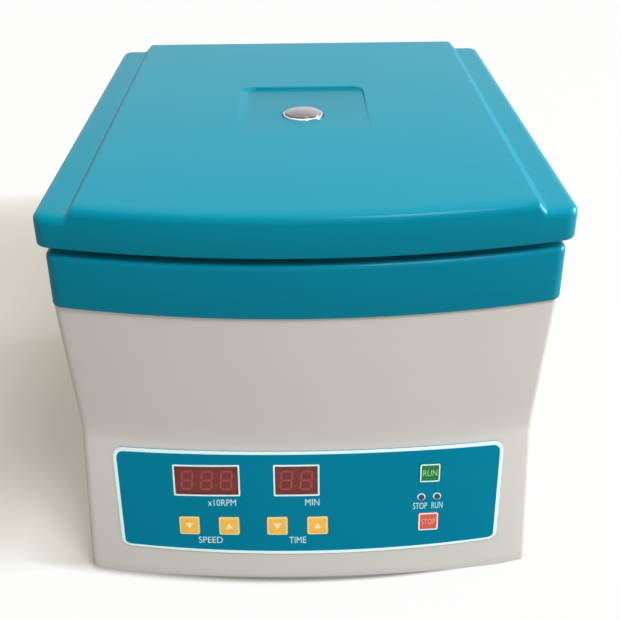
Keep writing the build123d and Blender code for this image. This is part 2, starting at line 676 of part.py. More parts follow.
def chamber_gasket():
    """Dark rubber ring on the deck that the closed lid sits over."""
    inner = OPENING_RADIUS + GASKET_OFFSET
    return tube(inner + GASKET_WIDTH, inner, DECK_TOP, LINER_BOTTOM - GASKET_CLEARANCE, 0, AXIS_Y)


def spindle_boot():
    """Rubber cone on the chamber floor round the shaft."""
    flange_top = CHAMBER_FLOOR + BOOT_FLANGE_THICKNESS
    boot = drum(BOOT_FLANGE_RADIUS, CHAMBER_FLOOR, flange_top, 0, AXIS_Y)
    cone = Cone(BOOT_BASE_RADIUS, BOOT_TOP_RADIUS, BOOT_HEIGHT, align=UP)
    boot += Pos(0, AXIS_Y, flange_top) * cone
    return boot - drum(SHAFT_RADIUS + BOOT_CLEARANCE, CHAMBER_FLOOR, flange_top + BOOT_HEIGHT, 0, AXIS_Y)


# ------------------------------------------------------------------ motor
def motor_barrel():
    """Round casing between the two motor caps."""
    return tube(MOTOR_RADIUS, MOTOR_RADIUS - MOTOR_WALL, BARREL_BOTTOM, BARREL_TOP, 0, AXIS_Y)


def motor_cap(bottom, bearing_bottom):
    """Motor end cap with the seat of its bearing."""
    cap = drum(MOTOR_RADIUS, bottom, bottom + MOTOR_CAP, 0, AXIS_Y)
    cap -= drum(SHAFT_RADIUS + BOOT_CLEARANCE, bottom, bottom + MOTOR_CAP, 0, AXIS_Y)
    return cap - drum(BEARING_RADIUS + FIT, bearing_bottom, bearing_bottom + BEARING_WIDTH, 0, AXIS_Y)


LOWER_BEARING = BARREL_BOTTOM - BEARING_WIDTH
UPPER_BEARING = BARREL_TOP


def bearing(bottom):
    """Ball bearing as one ring."""
    return tube(BEARING_RADIUS, SHAFT_RADIUS + BEARING_BORE_PLAY, bottom, bottom + BEARING_WIDTH, 0, AXIS_Y)


def motor_stator():
    """Stator pack inside the barrel."""
    bottom = (BARREL_BOTTOM + BARREL_TOP - STATOR_LENGTH) / 2
    return tube(STATOR_RADIUS, STATOR_RADIUS - STATOR_WALL, bottom, bottom + STATOR_LENGTH, 0, AXIS_Y)


def motor_core():
    """Turning core on the shaft."""
    bottom = (BARREL_BOTTOM + BARREL_TOP - CORE_LENGTH) / 2
    return tube(CORE_RADIUS, SHAFT_RADIUS + BEARING_BORE_PLAY, bottom, bottom + CORE_LENGTH, 0, AXIS_Y)


def motor_shaft():
    """Shaft from the lower bearing to the rotor, with a shoulder and a thread."""
    shaft = drum(SHAFT_RADIUS, LOWER_BEARING, HUB_TOP, 0, AXIS_Y)
    shaft += drum(SHAFT_SHOULDER, HUB_BOTTOM - SHOULDER_LENGTH, HUB_BOTTOM, 0, AXIS_Y)
    return shaft + drum(THREAD_RADIUS, HUB_TOP, HUB_TOP + THREAD_LENGTH, 0, AXIS_Y)


def cooling_fan():
    """Fan on the shaft between the motor and the bowl."""
    fan_top = FAN_BOTTOM + FAN_HEIGHT
    fan = drum(FAN_HUB_RADIUS, FAN_BOTTOM, fan_top, 0, AXIS_Y)
    fan += drum(FAN_RADIUS, FAN_BOTTOM, FAN_BOTTOM + FAN_PLATE, 0, AXIS_Y)
    length = FAN_RADIUS - FAN_HUB_RADIUS
    blade = Pos(FAN_HUB_RADIUS + length / 2 - 1, 0, FAN_BOTTOM) * Box(
        length, FAN_BLADE_THICKNESS, FAN_HEIGHT, align=UP
    )
    for index in range(FAN_BLADES):
        fan += Pos(0, AXIS_Y, 0) * Rot(0, 0, 360 * index / FAN_BLADES) * blade
    return fan - drum(SHAFT_RADIUS + BEARING_BORE_PLAY, FAN_BOTTOM, fan_top, 0, AXIS_Y)


MOUNT_PLACES = ring_of(MOUNTS, MOUNT_CIRCLE, 45.0)


def motor_mount_plate():
    """Round plate under the motor, on the rubber mounts."""
    plate = drum(MOUNT_PLATE_RADIUS, MOUNT_TOP, MOTOR_BOTTOM, 0, AXIS_Y)
    for x, y in MOUNT_PLACES:
        plate -= drum(MOUNT_BOLT_RADIUS + FIT, MOUNT_TOP, MOTOR_BOTTOM, x, y)
    return plate


def rubber_mounts():
    """Rubber posts between the base plate and the mount plate."""
    mounts = []
    for x, y in MOUNT_PLACES:
        post = drum(MOUNT_RADIUS, BASE_TOP, MOUNT_TOP, x, y)
        mounts.append(post - drum(MOUNT_BOLT_RADIUS + FIT, MOTOR_BOTTOM - MOUNT_BOLT_LENGTH, MOUNT_TOP, x, y))
    return mounts


def mount_bolts():
    """Hexagon bolts through the mount plate into the rubber mounts."""
    bolts = []
    for x, y in MOUNT_PLACES:
        head = Pos(x, y, MOTOR_BOTTOM) * extrude(RegularPolygon(MOUNT_BOLT_HEAD, 6), MOUNT_BOLT_HEAD_HEIGHT)
        bolts.append(head + drum(MOUNT_BOLT_RADIUS, MOTOR_BOTTOM - MOUNT_BOLT_LENGTH, MOTOR_BOTTOM, x, y))
    return bolts


def speed_sensor():
    """Small sensor on the upper cap, just under the fan."""
    return Pos(SENSOR_CIRCLE, AXIS_Y, MOTOR_TOP) * Box(SENSOR_SIZE, SENSOR_SIZE, SENSOR_HEIGHT, align=UP)


# ------------------------------------------------------------------ rotor
def rotor_yoke():
    """Hub with a web across and two side rails that hold the pivot pins."""
    yoke = drum(HUB_RADIUS, HUB_BOTTOM, HUB_TOP, 0, AXIS_Y)
    yoke += Pos(0, AXIS_Y, PIVOT_Z) * Box(2 * RAIL_X, WEB_WIDTH, WEB_HEIGHT)
    rail_length = 2 * (PIVOT_RADIUS + RAIL_PAST_PIVOT)
    rail = Plane.YZ * RectangleRounded(rail_length, RAIL_HEIGHT, RAIL_HEIGHT / 3)
    for side in (-1, 1):
        yoke += Pos(side * RAIL_X, AXIS_Y, PIVOT_Z) * extrude(rail, RAIL_THICKNESS / 2, both=True)
    for end in (-1, 1):
        y = AXIS_Y + end * PIVOT_RADIUS
        yoke -= rod(PIVOT_PIN_RADIUS + BEARING_BORE_PLAY, -WIDTH / 2, WIDTH / 2, y, PIVOT_Z)
    return yoke - drum(SHAFT_RADIUS + BEARING_BORE_PLAY, HUB_BOTTOM, HUB_TOP, 0, AXIS_Y)


def rotor_nut():
    """Hand nut with grip flutes that holds the rotor on the shaft."""
    nut = drum(NUT_RADIUS, HUB_TOP, HUB_TOP + NUT_HEIGHT, 0, AXIS_Y)
    nut = chamfer(nut.edges().sort_by(Axis.Z)[-1], NUT_GRIP_RADIUS)
    for x, y in ring_of(NUT_GRIPS, NUT_RADIUS):
        nut -= drum(NUT_GRIP_RADIUS, HUB_TOP, HUB_TOP + NUT_HEIGHT, x, y)
    return nut - drum(THREAD_RADIUS + BEARING_BORE_PLAY, HUB_TOP, HUB_TOP + THREAD_LENGTH + PLAY, 0, AXIS_Y)


def pivot_pins():
    """Four pins from the rails into the carriers."""
    inner = POCKET_LENGTH / 2 + FIT
    outer = RAIL_X + RAIL_THICKNESS / 2
    return [
        rod(PIVOT_PIN_RADIUS, side * inner, side * outer, AXIS_Y + end * PIVOT_RADIUS, PIVOT_Z)
        for side in (-1, 1)
        for end in (-1, 1)
    ]


def plate_carrier(end):
    """Open tray for one microplate, hung by an ear on each side."""
    y = AXIS_Y + end * PIVOT_RADIUS
    floor_top = PIVOT_Z - PIVOT_RISE
    bottom = floor_top - CARRIER_FLOOR
    outline = RectangleRounded(CARRIER_LENGTH, CARRIER_WIDTH, CARRIER_CORNER)
    pocket = RectangleRounded(POCKET_LENGTH, POCKET_WIDTH, CARRIER_CORNER - CARRIER_WALL)
    tray = Pos(0, y, bottom) * extrude(outline, CARRIER_FLOOR + CARRIER_RIM)
    for side in (-1, 1):
        ear_x = side * (POCKET_LENGTH + CARRIER_WALL) / 2
        ear = Pos(ear_x, y, bottom) * Box(CARRIER_WALL, PIVOT_EAR_WIDTH, PIVOT_Z - bottom, align=UP)
        ear += rod(PIVOT_EAR_WIDTH / 2, ear_x - CARRIER_WALL / 2, ear_x + CARRIER_WALL / 2, y, PIVOT_Z)
        boss_from = side * CARRIER_LENGTH / 2
        tray += ear + rod(PIVOT_BOSS_RADIUS, boss_from, boss_from + side * PIVOT_BOSS_LENGTH, y, PIVOT_Z)
    tray -= Pos(0, y, floor_top) * extrude(pocket, LID_TOP - floor_top)
    notch_bottom = floor_top + CARRIER_RIM - CARRIER_NOTCH_DEPTH
    notch = Box(CARRIER_NOTCH, 2 * CARRIER_WIDTH, CARRIER_NOTCH_DEPTH, align=UP)
    tray -= Pos(0, y, notch_bottom) * notch
    return tray - rod(PIVOT_PIN_RADIUS + FIT, -WIDTH / 2, WIDTH / 2, y, PIVOT_Z)


# ------------------------------------------------------------------ lid
SLOPE_HALF_WIDTH = PLATEAU_HALF_WIDTH + PLATEAU_SLOPE_RUN
RAIL_WIDTH = WIDTH / 2 - SLOPE_HALF_WIDTH
RAIL_EDGE = min(LID_EDGE, RAIL_EDGE_SHARE * RAIL_WIDTH)
RAIL_CORNER = min(LID_CORNER, RAIL_CORNER_SHARE * RAIL_WIDTH)
INSIDE_CORNER = max(RAIL_CORNER - WALL, LEAST_CORNER)
LID_SCREWS = [(side * LID_SCREW_X, y) for side in (-1, 1) for y in LID_SCREW_ROWS]


def lid_shell():
    """Hollow lid with a raised middle, lower rails and a shallow ramp in front of the sight glass."""
    outside = slab(plan(0, 0, 0, RAIL_CORNER), LID_BOTTOM, LID_TOP)
    step = [
        (SLOPE_HALF_WIDTH, RAIL_TOP),
        (PLATEAU_HALF_WIDTH, LID_TOP),
        (PLATEAU_HALF_WIDTH, LID_TOP + WALL),
        (WIDTH, LID_TOP + WALL),
        (WIDTH, RAIL_TOP),
    ]
    cut = extrude(Plane.XZ * Polygon(step, align=None), DEPTH, both=True)
    outside -= [cut, mirror(cut, about=Plane.YZ)]
    crown = outside.faces().sort_by(Axis.Z)[-1].edges().sort_by(Axis.Y)
    outside = fillet([crown[0], crown[-1]], PLATEAU_EDGE)
    rails = outside.faces().filter_by(Axis.Z).group_by(Axis.Z)[-2].edges()
    outside = fillet(rails.filter_by(lambda edge: abs(edge.center().X) > SLOPE_HALF_WIDTH + FIT), RAIL_EDGE)
    inner = plan(WALL, WALL, WALL, INSIDE_CORNER)
    hollow = slab(inner, LID_BOTTOM, RAIL_TOP - WALL)
    middle = [
        (-SLOPE_HALF_WIDTH + WALL / 2, RAIL_TOP - WALL),
        (-PLATEAU_HALF_WIDTH + WALL / 2, LID_CEILING),
        (PLATEAU_HALF_WIDTH - WALL / 2, LID_CEILING),
        (SLOPE_HALF_WIDTH - WALL / 2, RAIL_TOP - WALL),
        (SLOPE_HALF_WIDTH - WALL / 2, LID_BOTTOM),
        (-SLOPE_HALF_WIDTH + WALL / 2, LID_BOTTOM),
    ]
    middle = extrude(Plane.XZ * Polygon(middle, align=None), DEPTH, both=True)
    hollow += middle & slab(inner, LID_BOTTOM, LID_TOP)
    lid = outside - hollow
    ramp_plan = Pos(0, (RECESS_FRONT_Y + RECESS_BACK_Y) / 2) * Rectangle(
        2 * RECESS_HALF_WIDTH, RECESS_BACK_Y - RECESS_FRONT_Y
    )
    ramp_plan = fillet(ramp_plan.vertices().group_by(Axis.Y)[-1], RECESS_CORNER)
    wedge = Polygon(
        [(RECESS_FRONT_Y, LID_TOP), (RECESS_BACK_Y, LID_TOP - RECESS_DEPTH), (RECESS_BACK_Y, LID_TOP)],
        align=None,
    )
    wedge = extrude(Plane.YZ * wedge, RECESS_HALF_WIDTH, both=True)
    lid -= wedge & slab(ramp_plan, LID_TOP - RECESS_DEPTH, LID_TOP)
    lid -= drum(SIGHT_RADIUS + PLAY, LID_CEILING, LID_TOP, 0, AXIS_Y)
    for x, y in LID_SCREWS:
        boss = drum(LID_BOSS_RADIUS, LINER_TOP, RAIL_TOP, x, y) & outside
        lid += boss - drum(SCREW_RADIUS + FIT, LINER_TOP, LINER_TOP + LID_SCREW_LENGTH, x, y)
    for x, y in LEAF_SCREWS:
        lid -= drum(SCREW_RADIUS + FIT, LID_CEILING, LID_CEILING + LEAF_FLANGE_THICKNESS, x, y)
    return lid


def lid_liner():
    """Flat plate that closes the lid from below."""
    inset = WALL + PLAY
    liner = slab(plan(inset, inset, LINER_REAR_INSET, INSIDE_CORNER), LINER_BOTTOM, LINER_TOP)
    for x, y in LID_SCREWS:
        liner -= drum(SCREW_RADIUS + FIT, LINER_BOTTOM, LINER_TOP, x, y)
        liner -= drum(SCREW_HEAD_RADIUS + FIT, LINER_BOTTOM, LINER_BOTTOM + LINER_SINK, x, y)
    return liner - drum(TUBE_RADIUS - TUBE_WALL, LINER_BOTTOM, LINER_TOP, 0, AXIS_Y)


def lid_screws():
    """Screws up through the liner into the lid, and through the leaf flanges."""
    screws = []
    for x, y in LID_SCREWS:
        head = drum(SCREW_HEAD_RADIUS, LINER_BOTTOM, LINER_BOTTOM + LINER_SINK, x, y)
        screws.append(head + drum(SCREW_RADIUS, LINER_BOTTOM, LINER_BOTTOM + LID_SCREW_LENGTH, x, y))
    flange_bottom = LID_CEILING - LEAF_FLANGE_THICKNESS
    for x, y in LEAF_SCREWS:
        head = drum(SCREW_HEAD_RADIUS, flange_bottom - SCREW_HEAD_HEIGHT, flange_bottom, x, y)
        screws.append(head + drum(SCREW_RADIUS, flange_bottom, LID_CEILING + LEAF_FLANGE_THICKNESS / 2, x, y))
    return screws


RECESS_SHARE = (AXIS_Y - RECESS_FRONT_Y) / (RECESS_BACK_Y - RECESS_FRONT_Y)
SIGHT_FLOOR = LID_TOP - RECESS_DEPTH * RECESS_SHARE
BEZEL_TOP = SIGHT_FLOOR + BEZEL_PROUD
BEZEL_BOTTOM = BEZEL_TOP - BEZEL_DEPTH
LENS_RADIUS = SIGHT_RADIUS - BEZEL_WALL - FIT
LENS_BOTTOM = BEZEL_TOP - LENS_EDGE_THICKNESS
TUBE_RADIUS = SIGHT_RADIUS - FIT


def sight_bezel():
    """Ring round the sight glass with a ledge under the lens."""
    bezel = tube(SIGHT_RADIUS, SIGHT_RADIUS - BEZEL_WALL, LENS_BOTTOM, BEZEL_TOP, 0, AXIS_Y)
    ledge = tube(SIGHT_RADIUS, LENS_RADIUS - BEZEL_LEDGE, BEZEL_BOTTOM, LENS_BOTTOM, 0, AXIS_Y)
    return bezel + ledge


def sight_lens():
    """Clear lens with a low dome."""
    lens = drum(LENS_RADIUS, LENS_BOTTOM, BEZEL_TOP, 0, AXIS_Y)
    ball_radius = (LENS_RADIUS**2 + LENS_DOME**2) / (2 * LENS_DOME)
    ball = Pos(0, AXIS_Y, BEZEL_TOP + LENS_DOME - ball_radius) * Sphere(ball_radius)
    return lens + (ball & drum(LENS_RADIUS, BEZEL_TOP, BEZEL_TOP + LENS_DOME, 0, AXIS_Y))


def sight_tube():
    """Tube between the liner and the bezel."""
    return tube(TUBE_RADIUS, TUBE_RADIUS - TUBE_WALL, LINER_TOP, BEZEL_BOTTOM, 0, AXIS_Y)


def lid_striker():
    """Plate under the liner with the hole that the lock bolt enters."""
    bottom = LOCK_Z - BOLT_RADIUS - STRIKER_PAST_BOLT
    plate = Pos(0, LOCK_Y, bottom) * Box(STRIKER_THICKNESS, STRIKER_WIDTH, LINER_BOTTOM - bottom, align=UP)
    return plate - rod(BOLT_RADIUS + STRIKER_HOLE_PLAY, -STRIKER_WIDTH, STRIKER_WIDTH, LOCK_Y, LOCK_Z)


# ------------------------------------------------------------------ hinge
BRACKET_TOP = HINGE_Z - KNUCKLE_RADIUS - HINGE_ABOVE_EDGE
HINGE_SCREWS = [
    (side * HINGE_X + end * HINGE_SCREW_SPACING / 2, BRACKET_TOP - HINGE_SCREW_DROP)
    for side in (-1, 1)
    for end in (-1, 1)
]
LEAF_SCREWS = [
    (side * HINGE_X + end * HINGE_SCREW_SPACING / 2, HINGE_Y - LEAF_FLANGE_DEPTH * 2 / 3)
    for side in (-1, 1)
    for end in (-1, 1)
]


def hinge_brackets():
    """Plates on the back of the collar, each with the middle knuckle of a hinge."""
    brackets = []
    back = COLLAR_REAR_Y + BRACKET_THICKNESS
    arm = [
        (COLLAR_REAR_Y, BRACKET_TOP),
        (back, BRACKET_TOP),
        (back, HINGE_Z - KNUCKLE_RADIUS - PIN_RADIUS / 2),
        (HINGE_Y - KNUCKLE_RADIUS * math.cos(math.radians(30)), HINGE_Z - KNUCKLE_RADIUS / 2),
        (HINGE_Y, HINGE_Z),
        (HINGE_Y - KNUCKLE_RADIUS / 2, HINGE_Z + KNUCKLE_RADIUS * math.cos(math.radians(30))),
        (COLLAR_REAR_Y, HINGE_Z),
    ]
    for side in (-1, 1):
        x = side * HINGE_X
        plate = Pos(x, COLLAR_REAR_Y, BRACKET_TOP) * Box(
            2 * HINGE_HALF, BRACKET_THICKNESS, BRACKET_HEIGHT, align=(Align.CENTER, Align.MIN, Align.MAX)
        )
        neck = extrude(Plane.YZ * Polygon(arm, align=None), FIXED_KNUCKLE / 2, both=True)
        bracket = plate + Pos(x, 0, 0) * neck
        bracket += rod(KNUCKLE_RADIUS, x - FIXED_KNUCKLE / 2, x + FIXED_KNUCKLE / 2, HINGE_Y, HINGE_Z)
        bracket -= rod(PIN_RADIUS + FIT, x - HINGE_HALF, x + HINGE_HALF, HINGE_Y, HINGE_Z)
        for screw_x, screw_z in HINGE_SCREWS:
            bracket -= Pos(screw_x, back, screw_z) * Rot(90, 0, 0) * Cylinder(
                SCREW_RADIUS + FIT, BRACKET_THICKNESS, align=UP
            )
        brackets.append(bracket)
    return brackets


def hinge_leaves():
    """Leaves under the lid ceiling, each with the two outer knuckles of a hinge."""
    leaves = []
    clear = KNUCKLE_RADIUS + KNUCKLE_GAP
    for side in (-1, 1):
        x = side * HINGE_X
        riser_bottom = HINGE_Z + clear
        riser = Box(2 * HINGE_HALF, LEAF_THICKNESS, LID_CEILING - riser_bottom, align=UP)
        leaf = Pos(x, HINGE_Y, riser_bottom) * riser
        flange = Box(2 * HINGE_HALF, LEAF_FLANGE_DEPTH, LEAF_FLANGE_THICKNESS, align=(
            Align.CENTER, Align.MAX, Align.MAX))
        leaf += Pos(x, HINGE_Y, LID_CEILING) * flange
        for end in (-1, 1):
            near = x + end * (FIXED_KNUCKLE / 2 + KNUCKLE_GAP)
            far = x + end * HINGE_HALF
            leaf += rod(KNUCKLE_RADIUS, near, far, HINGE_Y, HINGE_Z)
            place = Pos((near + far) / 2, HINGE_Y, HINGE_Z)
            leaf += place * Box(LID_KNUCKLE, LEAF_THICKNESS, clear, align=UP)
        leaf -= rod(PIN_RADIUS + FIT, x - HINGE_HALF, x + HINGE_HALF, HINGE_Y, HINGE_Z)
        for screw_x, screw_y in LEAF_SCREWS:
            leaf -= drum(
                SCREW_RADIUS + FIT, LID_CEILING - LEAF_FLANGE_THICKNESS, LID_CEILING, screw_x, screw_y
            )
        leaves.append(leaf)
    return leaves


def hinge_pins():
    """One pin through the three knuckles of each hinge."""
    middles = (-HINGE_X, HINGE_X)
    return [rod(PIN_RADIUS, x - HINGE_HALF, x + HINGE_HALF, HINGE_Y, HINGE_Z) for x in middles]


def hinge_screws():
    """Screws through the brackets into the back of the collar."""
    back = COLLAR_REAR_Y + BRACKET_THICKNESS
    screws = []
    for x, z in HINGE_SCREWS:
        shank = Cylinder(SCREW_RADIUS, BRACKET_THICKNESS + HINGE_SCREW_LENGTH, align=UP)
        head = Cylinder(SCREW_HEAD_RADIUS, SCREW_HEAD_HEIGHT, align=DOWN)
        screws.append(Pos(x, back, z) * Rot(90, 0, 0) * (shank + head))
    return screws


# ------------------------------------------------------------------ lid lock
def lock_solenoid():
    """Solenoid on its plate under the deck, and the plate itself as a second solid."""
    plate_bottom = DECK_UNDERSIDE - SOLENOID_PLATE
    middle_x = SOLENOID_START + SOLENOID_LENGTH / 2
    length = SOLENOID_LENGTH + 2 * SOLENOID_PLATE_MARGIN
    plate = Pos(middle_x, LOCK_Y, plate_bottom) * Box(length, SOLENOID_WIDTH, SOLENOID_PLATE, align=UP)
    block = Box(SOLENOID_LENGTH, SOLENOID_WIDTH, SOLENOID_HEIGHT, align=DOWN)
    body = Pos(middle_x, LOCK_Y, plate_bottom) * block
    return [plate, body - rod(BOLT_RADIUS + FIT, 0, BOLT_START + BOLT_LENGTH + FIT, LOCK_Y, LOCK_Z)]


def lock_bolt():
    """Bolt of the solenoid, drawn back."""
    return rod(BOLT_RADIUS, BOLT_START, BOLT_START + BOLT_LENGTH, LOCK_Y, LOCK_Z)


# ------------------------------------------------------------------ front panel pieces
def panel_overlay():
    """Thin printed overlay that follows the bowed, leaning front."""
    top_x, bottom_x = PANEL_TOP_HALF_WIDTH, PANEL_BOTTOM_HALF_WIDTH
    top_end = PANEL_TOP - PANEL_TOP_DROOP
    bottom_end = PANEL_BOTTOM - PANEL_BOTTOM_DROOP
    edge = ThreePointArc((-top_x, top_end), (0, PANEL_TOP), (top_x, top_end))
    edge += Line((top_x, top_end), (bottom_x, bottom_end))
    edge += ThreePointArc((bottom_x, bottom_end), (0, PANEL_BOTTOM), (-bottom_x, bottom_end))
    edge += Line((-bottom_x, bottom_end), (-top_x, top_end))
    outline = make_face(edge.edges())
    outline = fillet(outline.vertices(), PANEL_CORNER)
    overlay = panel_layer(PANEL_FILM, PANEL_FILM + PANEL_THICKNESS) & extrude(Plane.XZ * outline, DEPTH)
    far = PANEL_THICKNESS + KEY_PROUD
    for across, row in KEYS.values():
        side = KEY_SIDE + 2 * KEY_PLAY
        overlay -= panel_block(across, row, side, side, -WALL, far, KEY_CORNER + KEY_PLAY)
    for across, width, _ in WINDOWS.values():
        size = (width + 2 * FIT, WINDOW_HEIGHT + 2 * FIT)
        overlay -= panel_block(across, WINDOW_ROW, *size, -WALL, far)
    for across, row in LAMPS:
        overlay -= panel_disc(across, row, LAMP_RADIUS + FIT, -WALL, far)
    return overlay


def display_window(across, width):
    """Dark filter let into the overlay."""
    layer = panel_layer(PANEL_FILM, PANEL_FILM + PANEL_THICKNESS + WINDOW_PROUD)
    return layer & panel_block(across, WINDOW_ROW, width, WINDOW_HEIGHT, -WALL, WALL)


def digit_modules(across, count):
    """Seven segment modules in a row behind a window."""
    middle = (count - 1) / 2
    frame = panel_frame(across, WINDOW_ROW, DIGIT_BACK)
    module = Box(DIGIT_WIDTH, DIGIT_HEIGHT, DIGIT_DEPTH, align=UP)
    return [frame * Pos((index - middle) * DIGIT_PITCH, 0, 0) * module for index in range(count)]


def board_size(width):
    """Width and height of the board behind a window."""
    return width + BOARD_MARGIN, WINDOW_HEIGHT + BOARD_MARGIN


def display_boards():
    """One board behind each row of digit modules."""
    boards = []
    for across, width, _ in WINDOWS.values():
        boards.append(panel_block(across, WINDOW_ROW, *board_size(width), BOARD_BACK, DIGIT_BACK))
    return boards


def display_posts():
    """Posts from the inside of the front wall to the display boards."""
    posts = []
    inner_wall = panel_layer(-3 * WALL, -WALL - PANEL_FILM)
    for across, width, _ in WINDOWS.values():
        board_width, board_height = board_size(width)
        for end in (-1, 1):
            x = end * (board_width - STANDOFF_RADIUS) / 2
            post = Pos(x, 0, 0) * Box(STANDOFF_RADIUS, board_height, WALL - DIGIT_BACK, align=UP)
            posts.append(inner_wall & (panel_frame(across, WINDOW_ROW, DIGIT_BACK) * post))
    return posts


def keypad_membrane():
    """Switch sheets behind the front wall with a raised dome under each key."""
    sheet = panel_layer(MEMBRANE_FRONT - MEMBRANE_THICKNESS, MEMBRANE_FRONT)
    side = KEY_HOLE_SIDE + MEMBRANE_MARGIN
    pads = []
    for across, row in KEYS.values():
        pad = sheet & panel_block(across, row, side, side, -3 * WALL, 0)
        inside = MEMBRANE_FRONT - MEMBRANE_THICKNESS / 2
        pads.append(pad + panel_disc(across, row, DOME_RADIUS, inside, DOME_TOP))
    return pads


def status_lamps():
    """Two round lamps with low domes, through the overlay and the wall."""
    lamps = []
    far = PANEL_THICKNESS + LAMP_PROUD
    for across, row in LAMPS:
        lamp = panel_disc(across, row, LAMP_RADIUS, -WALL - LAMP_PROUD, far)
        lamps.append(lamp)
    return lamps


def panel_key(across, row):
    """Key cap with a flange that the overlay keeps in."""
    cap = panel_block(across, row, KEY_SIDE, KEY_SIDE, FLANGE_BOTTOM, PANEL_THICKNESS + KEY_PROUD, KEY_CORNER)
    crown = cap.faces().sort_by(Axis.Y)[0].edges()
    cap = fillet(crown, KEY_PROUD / 2)
    flange = (FLANGE_SIDE, FLANGE_SIDE, FLANGE_BOTTOM, -KEY_FLANGE_DEPTH, KEY_CORNER)
    return cap + panel_block(across, row, *flange)


# ------------------------------------------------------------------ back panel and electrics
def power_inlet():
    """Mains socket with three blades, let into the back."""
    place = Pos(INLET_X, HOUSING_REAR_Y, INLET_Z)
    inlet = Box(INLET_FLANGE_WIDTH, INLET_FLANGE_THICKNESS, INLET_FLANGE_HEIGHT, align=OUTWARD)
    inlet += Box(INLET_BODY_WIDTH, INLET_BODY_DEPTH, INLET_BODY_HEIGHT, align=INWARD)
    mouth = Pos(0, INLET_FLANGE_THICKNESS, SOCKET_RISE)
    inlet -= mouth * Box(SOCKET_WIDTH, SOCKET_DEPTH, SOCKET_HEIGHT, align=INWARD)
    for index in (-1, 0, 1):
        rise = BLADE_HEIGHT / 2 if index == 0 else -BLADE_HEIGHT / 2
        blade = Box(BLADE_WIDTH, BLADE_LENGTH, BLADE_HEIGHT, align=OUTWARD)
        inlet += mouth * Pos(index * BLADE_SPACING, -SOCKET_DEPTH, rise) * blade
    drawer = Box(FUSE_WIDTH + PLAY, FUSE_DEPTH + INLET_FLANGE_THICKNESS, FUSE_HEIGHT + PLAY, align=INWARD)
    inlet -= Pos(0, INLET_FLANGE_THICKNESS, -FUSE_DROP) * drawer
    return place * inlet


def fuse_drawer():
    """Small drawer for the fuses under the mains socket."""
    place = Pos(INLET_X, HOUSING_REAR_Y + INLET_FLANGE_THICKNESS, INLET_Z - FUSE_DROP)
    return place * Box(FUSE_WIDTH, FUSE_DEPTH + INLET_FLANGE_THICKNESS, FUSE_HEIGHT, align=INWARD)


ROCKER_OPENING = 2 * math.hypot(ROCKER_HEIGHT / 2, ROCKER_THICKNESS) + 2 * ROCKER_PLAY
PIVOT_DEPTH = ROCKER_SETBACK


def rocker_pin(play=0.0):
    """Pivot of the rocker, or with some play the hole that it turns in."""
    reach = ROCKER_WIDTH / 2 - FIT + ROCKER_PIN_PROUD + play
    y = HOUSING_REAR_Y - PIVOT_DEPTH
    return rod(ROCKER_PIN_RADIUS + play, SWITCH_X - reach, SWITCH_X + reach, y, INLET_Z)


def switch_bezel():
    """Frame and body of the mains switch."""
    bezel = Box(SWITCH_WIDTH, SWITCH_FLANGE, SWITCH_HEIGHT, align=OUTWARD)
    body = (SWITCH_WIDTH - 2 * SWITCH_FLANGE, SWITCH_DEPTH, SWITCH_HEIGHT - 2 * SWITCH_FLANGE)
    bezel += Box(*body, align=INWARD)
    mouth = Box(ROCKER_WIDTH + 2 * FIT, SWITCH_FLANGE + 3 * ROCKER_THICKNESS, ROCKER_OPENING, align=INWARD)
    bezel -= Pos(0, SWITCH_FLANGE, 0) * mouth
    return Pos(SWITCH_X, HOUSING_REAR_Y, INLET_Z) * bezel - rocker_pin(FIT)


def power_rocker():
    """Rocker of the mains switch, tipped to the off side."""
    rocker = Box(ROCKER_WIDTH - 2 * FIT, ROCKER_THICKNESS, ROCKER_HEIGHT, align=OUTWARD)
    place = Pos(SWITCH_X, HOUSING_REAR_Y - PIVOT_DEPTH, INLET_Z)
    return place * Rot(ROCKER_TILT, 0, 0) * rocker + rocker_pin()


def transformer():
    """Laminated core with its coil, on the base plate."""
    core = Box(*TRANSFORMER_CORE, align=UP)
    coil_lift = (TRANSFORMER_CORE[2] - TRANSFORMER_COIL[2]) / 2
    coil = Pos(0, 0, coil_lift) * Box(*TRANSFORMER_COIL, align=UP)
    return Pos(TRANSFORMER_X, TRANSFORMER_Y, BASE_TOP) * (core + coil)


BOARDS = {
    "power": (POWER_BOARD_X, POWER_BOARD_Y, POWER_BOARD_SIZE),
    "control": (CONTROL_BOARD_X, CONTROL_BOARD_Y, CONTROL_BOARD_SIZE),
}
BOARD_BOTTOM = BASE_TOP + STANDOFF_HEIGHT
BOARD_TOP = BOARD_BOTTOM + BOARD_THICKNESS


def board_standoffs():
    """Pillars under the corners of both boards, and the posts of the display boards."""
    pillars = []
    for x, y, (length, width) in BOARDS.values():
        for side in (-1, 1):
            for end in (-1, 1):
                pillar_x = x + side * (length / 2 - STANDOFF_INSET)
                pillar_y = y + end * (width / 2 - STANDOFF_INSET)
                pillars.append(drum(STANDOFF_RADIUS, BASE_TOP, BOARD_BOTTOM, pillar_x, pillar_y))
    return pillars + display_posts()


def power_board():
    """Mains and motor drive board with its capacitor, heat sink and connector."""
    length, width = POWER_BOARD_SIZE
    board = Box(length, width, BOARD_THICKNESS, align=UP)
    capacitor = Cylinder(CAPACITOR_RADIUS, CAPACITOR_HEIGHT, align=UP)
    board += Pos(-length / 4, width / 4, BOARD_THICKNESS) * capacitor
    board += Pos(length / 5, -width / 4, BOARD_THICKNESS) * Box(*HEATSINK_SIZE, align=UP)
    board += Pos(length / 5, width / 4, BOARD_THICKNESS) * Box(*CONNECTOR_SIZE, align=UP)
    return Pos(POWER_BOARD_X, POWER_BOARD_Y, BOARD_BOTTOM) * board


